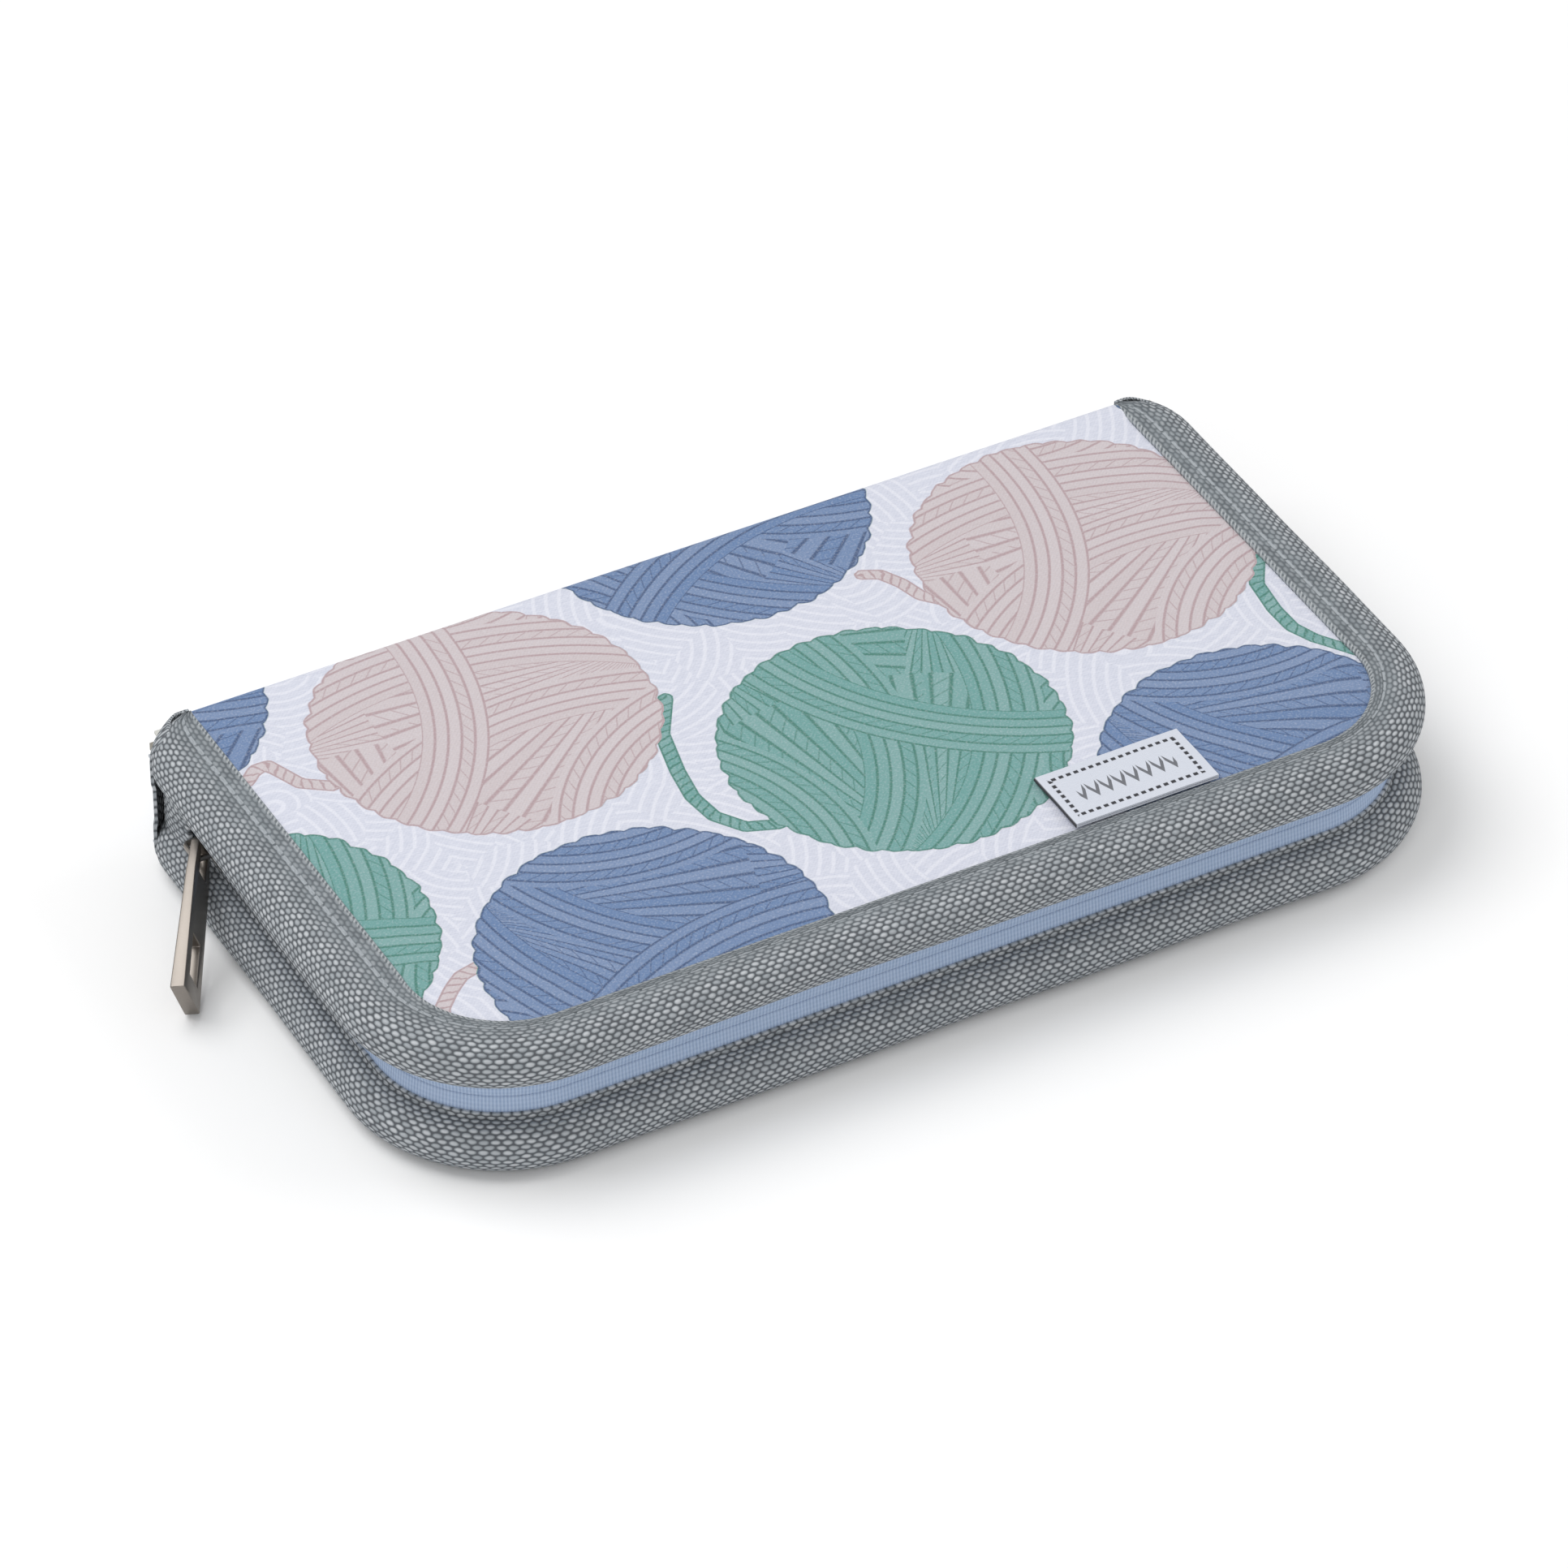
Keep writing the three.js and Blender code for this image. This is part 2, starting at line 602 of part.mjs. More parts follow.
// Each channel is as wide as its tip needs, and all of them share what is left over equally.
const channelWalls = 2 * (CHANNEL_CLEARANCE + CHANNEL_FABRIC);
const tips = TIP_DIAMETERS.flatMap((diameter) => ["a", "b"].map((twin) => ({ diameter, twin })));
const needed = tips.reduce((sum, tip) => sum + tip.diameter + channelWalls, 0);
const spare = (channelBack - channelFront - needed) / tips.length;
let channelEdge = channelFront;
tips.forEach((tip) => {
  const width = tip.diameter + channelWalls + spare;
  tip.place = channelEdge + width / 2;
  tip.axis = tipFloor + tip.diameter / 2;
  channelEdge += width;
  const name = `${tip.diameter}mm_${tip.twin}`;
  const radius = tip.diameter / 2;
  addPiece(`tip_ferrule_${name}`, ferrule(radius), "brass").position.set(
    tipStart,
    tip.place,
    tip.axis,
  );
  addPiece(`tip_shaft_${name}`, shaft(radius), "wood").position.set(
    tipStart + FERRULE_LENGTH + GAP,
    tip.place,
    tip.axis,
  );
});

// One sheet of fabric that arches over every tip and is stitched down between them.
function needleChannels() {
  const upper = [];
  const lower = [];
  tips.forEach((tip) => {
    const inner = tip.diameter / 2 + CHANNEL_CLEARANCE;
    const outer = inner + CHANNEL_FABRIC;
    [[outer, upper, tipFloor + CHANNEL_FABRIC], [inner, lower, tipFloor]].forEach(
      ([radius, side, foot]) => {
        side.push(new THREE.Vector2(tip.place - radius, foot));
        for (let step = 0; step <= ARCH_STEPS; step++) {
          const angle = Math.PI - (step / ARCH_STEPS) * Math.PI;
          side.push(
            new THREE.Vector2(tip.place + radius * Math.cos(angle), tip.axis + radius * Math.sin(angle)),
          );
        }
        side.push(new THREE.Vector2(tip.place + radius, foot));
      },
    );
  });
  const outline = [
    new THREE.Vector2(channelFront, tipFloor),
    ...lower,
    new THREE.Vector2(channelBack, tipFloor),
    new THREE.Vector2(channelBack, tipFloor + CHANNEL_FABRIC),
    ...upper.reverse(),
    new THREE.Vector2(channelFront, tipFloor + CHANNEL_FABRIC),
  ];
  const geometry = new THREE.ExtrudeGeometry(new THREE.Shape(outline), {
    depth: CHANNEL_LENGTH,
    bevelEnabled: false,
  });
  // The outline's plane is turned to face along the case.
  return geometry.rotateX(Math.PI / 2).rotateZ(Math.PI / 2).translate(channelStart, 0, 0);
}
addPiece("needle_channels", needleChannels(), "lining");

// ---- Cable pocket in the lid and what it holds -----------------------------------------------------
const pocketFloor = tipFloor + Math.max(...TIP_DIAMETERS) + CHANNEL_CLEARANCE + CHANNEL_FABRIC + GAP;
const pocketRoof = CASE_HEIGHT - LINING_TOP - GAP;
const pocketFront = -HALF_DEPTH + ZIP_CLEAR_INSET + POCKET_FRONT_MARGIN - GAP;
const pocketBack = pocketFront + POCKET_DEPTH;

// A fabric tray under the lid: a floor with walls at both ends and at the front, open to the spine.
function cablePocket() {
  const end = clearLength(pocketFront);
  const outer = box(
    new THREE.Vector3(-end, pocketFront, pocketFloor),
    new THREE.Vector3(end, pocketBack, pocketRoof),
  );
  const inner = box(
    new THREE.Vector3(-end + POCKET_FABRIC, pocketFront + POCKET_FABRIC, pocketFloor + POCKET_FABRIC),
    new THREE.Vector3(end - POCKET_FABRIC, pocketBack + 1, pocketRoof + 1),
  );
  return surface(solid(outer).subtract(solid(inner)));
}
addPiece("cable_pocket", cablePocket(), "lining");

const shelf = pocketFloor + POCKET_FABRIC + GAP;
const ringReach = COIL_RING_RADIUS + COIL_RING_SECTION;
const ringMiddle = pocketFront + RING_FRONT_CLEARANCE + ringReach;

function cableRing() {
  const section = [];
  for (let side = 0; side <= RING_SIDES; side++) {
    const angle = (side / RING_SIDES) * 2 * Math.PI;
    section.push(
      new THREE.Vector2(
        COIL_RING_RADIUS + COIL_RING_SECTION * Math.cos(angle),
        COIL_RING_SECTION * Math.sin(angle),
      ),
    );
  }
  return new THREE.LatheGeometry(section, RING_STEPS).rotateX(Math.PI / 2);
}

const connector = () =>
  turned([
    [0, 0],
    [CONNECTOR_RADIUS, 0],
    [CONNECTOR_RADIUS, CONNECTOR_LENGTH - THREAD_LENGTH],
    [THREAD_RADIUS, CONNECTOR_LENGTH - THREAD_LENGTH],
    [THREAD_RADIUS, CONNECTOR_LENGTH],
    [0, CONNECTOR_LENGTH],
  ]);

[["cable_long", -1], ["cable_short", 1]].forEach(([name, half]) => {
  const place = half * (RING_SPACING + ringReach);
  addPiece(name, cableRing(), "cable").position.set(place, ringMiddle, shelf + COIL_RING_SECTION);
  [["end_a", -1], ["end_b", 1]].forEach(([suffix, side]) => {
    addPiece(`${name}_${suffix}`, connector(), "brass").position.set(
      place - CONNECTOR_LENGTH / 2,
      ringMiddle + side * CONNECTOR_OFFSET,
      shelf + CONNECTOR_RADIUS,
    );
  });
});

const keyLength = KEY_HANDLE_LENGTH + KEY_PIN_LENGTH;
addPiece(
  "tightening_key",
  turned([
    [0, 0],
    [KEY_HANDLE_RADIUS, 0],
    [KEY_HANDLE_RADIUS, KEY_HANDLE_LENGTH],
    [KEY_PIN_RADIUS, KEY_HANDLE_LENGTH],
    [KEY_PIN_RADIUS, keyLength],
    [0, keyLength],
  ]).rotateZ(Math.PI / 2),
  "nickel",
).position.set(0, ringMiddle - keyLength / 2, shelf + KEY_HANDLE_RADIUS);

[["end_stopper_a", -1], ["end_stopper_b", 1]].forEach(([name, side]) => {
  addPiece(
    name,
    turned([
      [0, STOPPER_LENGTH / 2],
      [THREAD_RADIUS, STOPPER_LENGTH / 2],
      [THREAD_RADIUS, 0],
      [STOPPER_RADIUS, 0],
      [STOPPER_RADIUS, STOPPER_LENGTH],
      [0, STOPPER_LENGTH],
    ]).rotateZ(Math.PI / 2),
    "plastic",
  ).position.set(
    side * (STOPPER_RADIUS + STOPPER_SPACING),
    pocketFront + POCKET_FABRIC + STOPPER_SPACING,
    shelf + STOPPER_RADIUS,
  );
});

export default part;
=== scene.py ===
"""A zipped, padded case that holds a set of interchangeable needle tips and their cables.

The printed cover, webbing bindings, zip, spine and label stand outside; the channels with
their ten tips, and the cotton pocket with two coiled cables, stand inside. Lengths are in
millimetres where they are written and in metres in the meshes.
"""

import json
import logging
import math
from dataclasses import dataclass
from enum import Enum
from typing import Callable, Optional, Sequence, Union

import bpy
import numpy as np
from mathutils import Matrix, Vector, noise

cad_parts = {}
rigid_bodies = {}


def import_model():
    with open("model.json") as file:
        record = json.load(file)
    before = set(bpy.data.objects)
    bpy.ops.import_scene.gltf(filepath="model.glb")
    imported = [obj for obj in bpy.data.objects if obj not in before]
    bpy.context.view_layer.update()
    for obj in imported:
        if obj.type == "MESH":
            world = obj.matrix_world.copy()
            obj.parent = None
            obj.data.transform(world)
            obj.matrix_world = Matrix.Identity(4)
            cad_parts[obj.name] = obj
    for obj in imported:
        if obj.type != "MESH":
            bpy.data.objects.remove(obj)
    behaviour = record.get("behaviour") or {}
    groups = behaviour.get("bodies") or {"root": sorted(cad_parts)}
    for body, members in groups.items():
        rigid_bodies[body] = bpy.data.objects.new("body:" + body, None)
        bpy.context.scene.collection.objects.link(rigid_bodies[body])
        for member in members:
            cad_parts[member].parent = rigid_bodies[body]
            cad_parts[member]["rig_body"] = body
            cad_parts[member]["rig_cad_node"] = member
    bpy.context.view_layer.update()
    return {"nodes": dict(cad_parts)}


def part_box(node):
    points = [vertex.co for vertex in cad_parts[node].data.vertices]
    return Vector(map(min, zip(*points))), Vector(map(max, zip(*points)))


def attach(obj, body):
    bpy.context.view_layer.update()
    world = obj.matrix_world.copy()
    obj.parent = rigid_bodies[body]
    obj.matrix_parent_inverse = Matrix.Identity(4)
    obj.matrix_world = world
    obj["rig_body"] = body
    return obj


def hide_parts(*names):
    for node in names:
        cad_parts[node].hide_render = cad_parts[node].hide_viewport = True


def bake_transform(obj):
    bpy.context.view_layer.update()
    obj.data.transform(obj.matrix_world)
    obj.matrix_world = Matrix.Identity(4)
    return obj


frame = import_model()

log = logging.getLogger("case")
MM = 0.001
WELD = 2e-6
Socket = bpy.types.NodeSocket
Object = bpy.types.Object
Material = bpy.types.Material
Value = Union[float, Sequence[float], Socket]
Pair = tuple[float, float]


def linear(red: int, green: int, blue: int) -> tuple[float, float, float, float]:
    """Turns a display colour from 0 to 255 into linear light.

    Args:
        red, green, blue: the display colour's parts.

    Returns:
        The colour and an alpha of 1.
    """
    parts = [part / 255 for part in (red, green, blue)]
    light = [p / 12.92 if p <= 0.04045 else ((p + 0.055) / 1.055) ** 2.4 for p in parts]
    return (light[0], light[1], light[2], 1.0)


class Half(Enum):
    """The two shells of the case, which mirror each other about the parting plane."""

    BASE = "base"
    LID = "lid"

    def height(self, above_outside: float) -> float:
        """Returns the height in mm of a place so far in from this half's outer face."""
        return above_outside if self is Half.BASE else CASE.height - above_outside

    @property
    def up(self) -> int:
        """Returns 1 where the inside lies above the outer face, and otherwise -1."""
        return 1 if self is Half.BASE else -1


class Side(Enum):
    """The two ends of the case."""

    LEFT = -1
    RIGHT = 1


class Tone(Enum):
    """The yarn colours of the printed balls."""

    BEIGE = 0
    GREEN = 1
    BLUE = 2


class Bench:
    """The modelling tools, which work on one object at a time."""

    @staticmethod
    def clear() -> None:
        """Leaves object mode as the mode and nothing selected."""
        if bpy.context.object and bpy.context.object.mode != "OBJECT":
            bpy.ops.object.mode_set(mode="OBJECT")
        bpy.ops.object.select_all(action="DESELECT")

    @staticmethod
    def pick(piece: Object) -> None:
        """Makes one object the only one selected, and active."""
        Bench.clear()
        piece.select_set(True)
        bpy.context.view_layer.objects.active = piece

    @staticmethod
    def edit(piece: Object, mode: str = "VERT") -> None:
        """Opens one object's mesh for editing with nothing in it selected."""
        Bench.pick(piece)
        bpy.ops.object.mode_set(mode="EDIT")
        bpy.ops.mesh.select_mode(type=mode)
        bpy.ops.mesh.select_all(action="DESELECT")

    @staticmethod
    def wire(name: str, points: Sequence[Sequence[float]], closed: bool) -> Object:
        """Draws a line of edges, point by point.

        Args:
            name: the new piece's name.
            points: its points in mm.
            closed: whether the last point joins the first.

        Returns:
            The new object, in object mode, with its whole mesh selected.
        """
        Bench.clear()
        bpy.ops.mesh.primitive_plane_add(size=MM)
        piece = bpy.context.object
        piece.name = piece.data.name = name
        Bench.everything(piece)
        bpy.ops.mesh.merge(type="CENTER")
        places = [Vector(point) * MM for point in points]
        bpy.ops.transform.translate(value=places[0])
        for start, end in zip(places, places[1:]):
            bpy.ops.mesh.extrude_vertices_move(TRANSFORM_OT_translate={"value": end - start})
        bpy.ops.object.mode_set(mode="OBJECT")
        if closed:
            near = [min(piece.data.vertices, key=lambda v, p=p: (v.co - p).length).index
                    for p in (places[0], places[-1])]
            for edge in piece.data.edges:
                edge.select = False
            for vertex in piece.data.vertices:
                vertex.select = vertex.index in near
            bpy.ops.object.mode_set(mode="EDIT")
            bpy.ops.mesh.edge_face_add()
            bpy.ops.object.mode_set(mode="OBJECT")
        Bench.everything(piece, "EDGE")
        bpy.ops.object.mode_set(mode="OBJECT")
        return piece

    @staticmethod
    def everything(piece: Object, mode: str = "VERT") -> None:
        """Opens one object's mesh for editing with all of it selected."""
        Bench.edit(piece, mode)
        bpy.ops.mesh.select_all(action="SELECT")

    @staticmethod
    def leave() -> None:
        """Goes back to object mode."""
        bpy.ops.object.mode_set(mode="OBJECT")

    @staticmethod
    def flip(piece: Object) -> None:
        """Turns all faces of one object the other way."""
        Bench.everything(piece)
        bpy.ops.mesh.flip_normals()
        Bench.leave()

    @staticmethod
    def lofted(name: str, profile: Sequence[Sequence[float]], steps: int,
               move: Sequence[float]) -> Object:
        """Pushes a closed profile along one straight line and caps both ends.

        Args:
            name: the new piece's name.
            profile: its points in mm.
            steps: the number of faces along the line.
            move: the line from the first end to the last, in mm.

        Returns:
            The closed piece.
        """
        piece = Bench.wire(name, profile, closed=True)
        bpy.ops.object.mode_set(mode="EDIT")
        Bench.run(steps, move)
        return Bench.close(piece)

    @staticmethod
    def run(steps: int, move: Sequence[float]) -> None:
        """Extrudes the selection in equal steps along one straight move in mm."""
        step = Vector(move) * MM / steps
        for _ in range(steps):
            bpy.ops.mesh.extrude_region_move(TRANSFORM_OT_translate={"value": step})

    @staticmethod
    def close(piece: Object, caps: bool = True) -> Object:
        """Welds doubles, fills open ends and turns the faces outwards."""
        Bench.everything(piece)
        bpy.ops.mesh.remove_doubles(threshold=WELD)
        if caps:
            bpy.ops.mesh.fill_holes(sides=0)
        bpy.ops.mesh.select_all(action="SELECT")
        bpy.ops.mesh.normals_make_consistent(inside=False)
        Bench.leave()
        return piece

    @staticmethod
    def finish(piece: Object, angle: float = 40) -> Object:
        """Puts the place into the mesh and smooths all edges under an angle in degrees."""
        Bench.pick(piece)
        bpy.ops.object.transform_apply(location=True, rotation=True, scale=True)
        bpy.ops.object.shade_smooth_by_angle(angle=math.radians(angle))
        return piece

    @staticmethod
    def apply(piece: Object, kind: str, **settings: object) -> Object:
        """Adds a modifier with these settings and applies it at once."""
        Bench.pick(piece)
        modifier = piece.modifiers.new(kind.title(), kind)
        for key, value in settings.items():
            setattr(modifier, key, value)
        bpy.ops.object.modifier_apply(modifier=modifier.name)
        return piece

    @staticmethod
    def turned(name: str, profile: Sequence[Pair], start: Vector, sides: int) -> Object:
        """Spins a profile round an axis along +X.

        Args:
            name: the new piece's name.
            profile: distance along the axis and radius, in mm, from end to end.
            start: the axis's first point, in mm.
            sides: how many faces go round it.

        Returns:
            The closed, smooth piece.
        """
        points = [(start.x + along, start.y, start.z + radius) for along, radius in profile]
        piece = Bench.wire(name, points, closed=False)
        bpy.ops.object.mode_set(mode="EDIT")
        bpy.ops.mesh.spin(steps=sides, angle=math.tau, center=start * MM, axis=(1, 0, 0))
        Bench.close(piece, caps=False)
        return Bench.finish(piece)

    @staticmethod
    def block(name: str, low: Sequence[float], high: Sequence[float], edge: float,
              segments: int = 3) -> Object:
        """Shapes a block with rounded edges.

        Args:
            name: the new piece's name.
            low, high: its two corners in mm.
            edge: the rounding in mm.
            segments: how many faces each rounding has.

        Returns:
            The new piece.
        """
        Bench.clear()
        low, high = Vector(low) * MM, Vector(high) * MM
        bpy.ops.mesh.primitive_cube_add(size=1, location=(low + high) / 2)
        piece = bpy.context.object
        piece.name = piece.data.name = name
        piece.scale = high - low
        bpy.ops.object.transform_apply(location=True, rotation=True, scale=True)
        Bench.everything(piece, "EDGE")
        bpy.ops.mesh.bevel(offset=edge * MM, segments=segments, affect="EDGES")
        Bench.close(piece, caps=False)
        return Bench.finish(piece)

    @staticmethod
    def from_node(name: str, node: str, edge: float) -> Object:
        """Copies a CAD node's shape and rounds its sharp edges.

        Args:
            name: the new piece's name.
            node: the CAD node.
            edge: the rounding in mm.

        Returns:
            The new piece, which stands for the node.
        """
        piece = frame["nodes"][node].copy()
        piece.data = piece.data.copy()
        bpy.context.scene.collection.objects.link(piece)
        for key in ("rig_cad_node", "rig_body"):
            if key in piece:
                del piece[key]
        piece.parent = None
        piece.name = piece.data.name = name
        Bench.everything(piece)
        bpy.ops.mesh.remove_doubles(threshold=WELD)
        bpy.ops.mesh.dissolve_limited(angle_limit=math.radians(2))
        Bench.leave()
        Bench.apply(piece, "BEVEL", width=edge * MM, segments=3, limit_method="ANGLE",
                    angle_limit=math.radians(35))
        piece.data.materials.clear()
        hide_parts(node)
        return Bench.finish(piece, 50)

    @staticmethod
    def places(piece: Object) -> np.ndarray:
        """Returns the mesh's points in mm, one row each."""
        flat = np.zeros(len(piece.data.vertices) * 3)
        piece.data.vertices.foreach_get("co", flat)
        return flat.reshape(-1, 3) / MM

    @staticmethod
    def move_to(piece: Object, points: np.ndarray) -> None:
        """Moves the mesh's points to new places in mm."""
        piece.data.vertices.foreach_set("co", (points * MM).ravel())
        piece.data.update()

    @staticmethod
    def lay_uv(piece: Object, values: np.ndarray, name: str = "cloth") -> None:
        """Stores a pair of numbers for each point as a UV map."""
        layer = piece.data.uv_layers.get(name) or piece.data.uv_layers.new(name=name)
        corners = np.zeros(len(piece.data.loops), int)
        piece.data.loops.foreach_get("vertex_index", corners)
        layer.data.foreach_set("uv", values[corners].astype(np.float32).ravel())

    @staticmethod
    def store(piece: Object, name: str, values: np.ndarray) -> None:
        """Stores one number for each point as an attribute."""
        attribute = piece.data.attributes.new(name, "FLOAT", "POINT")
        attribute.data.foreach_set("value", values.astype(np.float32))

    @staticmethod
    def dress(piece: Object, material: Material, slot: str) -> Object:
        """Gives a piece its finish."""
        piece.data.materials.clear()
        piece.data.materials.append(material)
        return piece

    @staticmethod
    def along(piece: Object, path: Sequence[Sequence[float]], height: float, spacing: float,
              length: float) -> Object:
        """Repeats a piece along a level path.

        Args:
            piece: the piece, modelled about the origin with its length along +X.
            path: the path's level points in mm.
            height: the path's height in mm.
            spacing: the distance between copies in mm.
            length: how much of the path the copies take up, in mm.

        Returns:
            The piece, with all its copies in one mesh.
        """
        line = bpy.data.curves.new(piece.name + "_path", "CURVE")
        line.dimensions = "2D"
        spline = line.splines.new("POLY")
        spline.points.add(len(path) - 1)
        for point, (x, y) in zip(spline.points, path):
            point.co = (x * MM, y * MM, 0, 1)
        guide = bpy.data.objects.new(piece.name + "_path", line)
        bpy.context.scene.collection.objects.link(guide)
        guide.location.z = height * MM
        piece.location.z = height * MM
        bpy.context.view_layer.update()
        Bench.apply(piece, "ARRAY", use_relative_offset=False, use_constant_offset=True,
                    constant_offset_displace=(spacing * MM, 0, 0), count=int(length / spacing))
        Bench.apply(piece, "CURVE", object=guide, deform_axis="POS_X")
        bpy.data.objects.remove(guide)
        return Bench.finish(piece)


@dataclass(frozen=True)
class CaseOutline:
    """The outline that both shells share: two sides, two round front corners and a front."""

    half_length: float = 105
    half_depth: float = 56.5
    corner: float = 30
    height: float = 28.5

    @property
    def centre(self) -> Vector:
        """Returns the middle of the right front corner's rounding."""
        return Vector((self.half_length - self.corner, self.corner - self.half_depth, 0))

    def sweep(self, name: str, profile: Sequence[Pair], back: float, side_steps: int,
              corner_steps: int, front_steps: int) -> Object:
        """Sweeps a closed profile round the sides, the corners and the front.

        Args:
            name: the new piece's name.
            profile: inset from the outline and height, in mm.
            back: how far towards the back it starts and ends, in mm.
            side_steps, corner_steps, front_steps: the number of faces along each stretch.

        Returns:
            The closed piece.
        """
        centre = self.centre
        points = [(self.half_length - inset, back, height) for inset, height in profile]
        piece = Bench.wire(name, points, closed=True)
        bpy.ops.object.mode_set(mode="EDIT")
        Bench.run(side_steps, (0, centre.y - back, 0))
        bpy.ops.mesh.spin(steps=corner_steps, angle=math.pi / 2, center=centre * MM,
                          axis=(0, 0, 1))
        Bench.run(front_steps, (-2 * centre.x, 0, 0))
        bpy.ops.mesh.spin(steps=corner_steps, angle=math.pi / 2,
                          center=Vector((-centre.x, centre.y, 0)) * MM, axis=(0, 0, 1))
        Bench.run(side_steps, (0, back - centre.y, 0))
        return Bench.close(piece)

    def measure(self, points: np.ndarray) -> tuple[np.ndarray, np.ndarray, np.ndarray]:
        """Finds where points lie against the outline.

        Args:
            points: places in mm, one row each.

        Returns:
            The distance round from the right back end, the inset, and the inward direction.
        """
        centre = self.centre
        x, y = np.abs(points[:, 0]), points[:, 1]
        dx, dy = np.maximum(x - centre.x, 0), np.maximum(centre.y - y, 0)
        in_corner = (dx > 0) & (dy > 0)
        reach = np.where(in_corner, np.hypot(dx, dy), np.maximum(dx, dy))
        turn = np.where(in_corner, np.arctan2(dy, np.maximum(dx, 1e-9)),
                        np.where(dy > dx, math.pi / 2, 0))
        straight = self.half_depth - centre.y
        round_to = straight - np.maximum(y - centre.y, 0) * (turn == 0)
        round_to = round_to + turn * (self.corner - 5)
        half_way = straight + math.pi / 2 * (self.corner - 5) + centre.x
        round_to = np.where(turn > 1.5707, half_way - np.minimum(x, centre.x), round_to)
        around = np.where(points[:, 0] < 0, 2 * half_way - round_to, round_to)
        inward = np.stack([-np.cos(turn) * np.sign(points[:, 0]), np.sin(turn),
                           np.zeros_like(turn)], axis=1)
        return around, self.corner - reach, inward

    def path(self, inset: float, back: float, spacing: float = 1.0) -> list[Pair]:
        """Lists the points of the level line that lies this far in from the outline."""
        centre = self.centre
        radius = self.corner - inset
        side = [(centre.x + radius, y) for y in np.arange(back, centre.y, -spacing)]
        arc = [(centre.x + radius * math.cos(a), centre.y - radius * math.sin(a))
               for a in np.linspace(0, math.pi / 2, int(radius * 1.6 / spacing))]
        right = side + arc
        return right + [(-x, y) for x, y in reversed(right)]


CASE = CaseOutline()


def wander(points: np.ndarray, scale: float, seed: float) -> np.ndarray:
    """Gives each place a smooth random number from about -1 to 1.

    Args:
        points: places in mm.
        scale: the size in mm of one hump.
        seed: picks another pattern.

    Returns:
        One number for each place.
    """
    shift = Vector((seed, 2 * seed, 3 * seed))
    return np.array([noise.noise(Vector(p) / scale + shift) for p in points])


def ease(value: np.ndarray, low: float, high: float) -> np.ndarray:
    """Rises smoothly from 0 at low to 1 at high."""
    t = np.clip((value - low) / (high - low), 0, 1)
    return t * t * (3 - 2 * t)


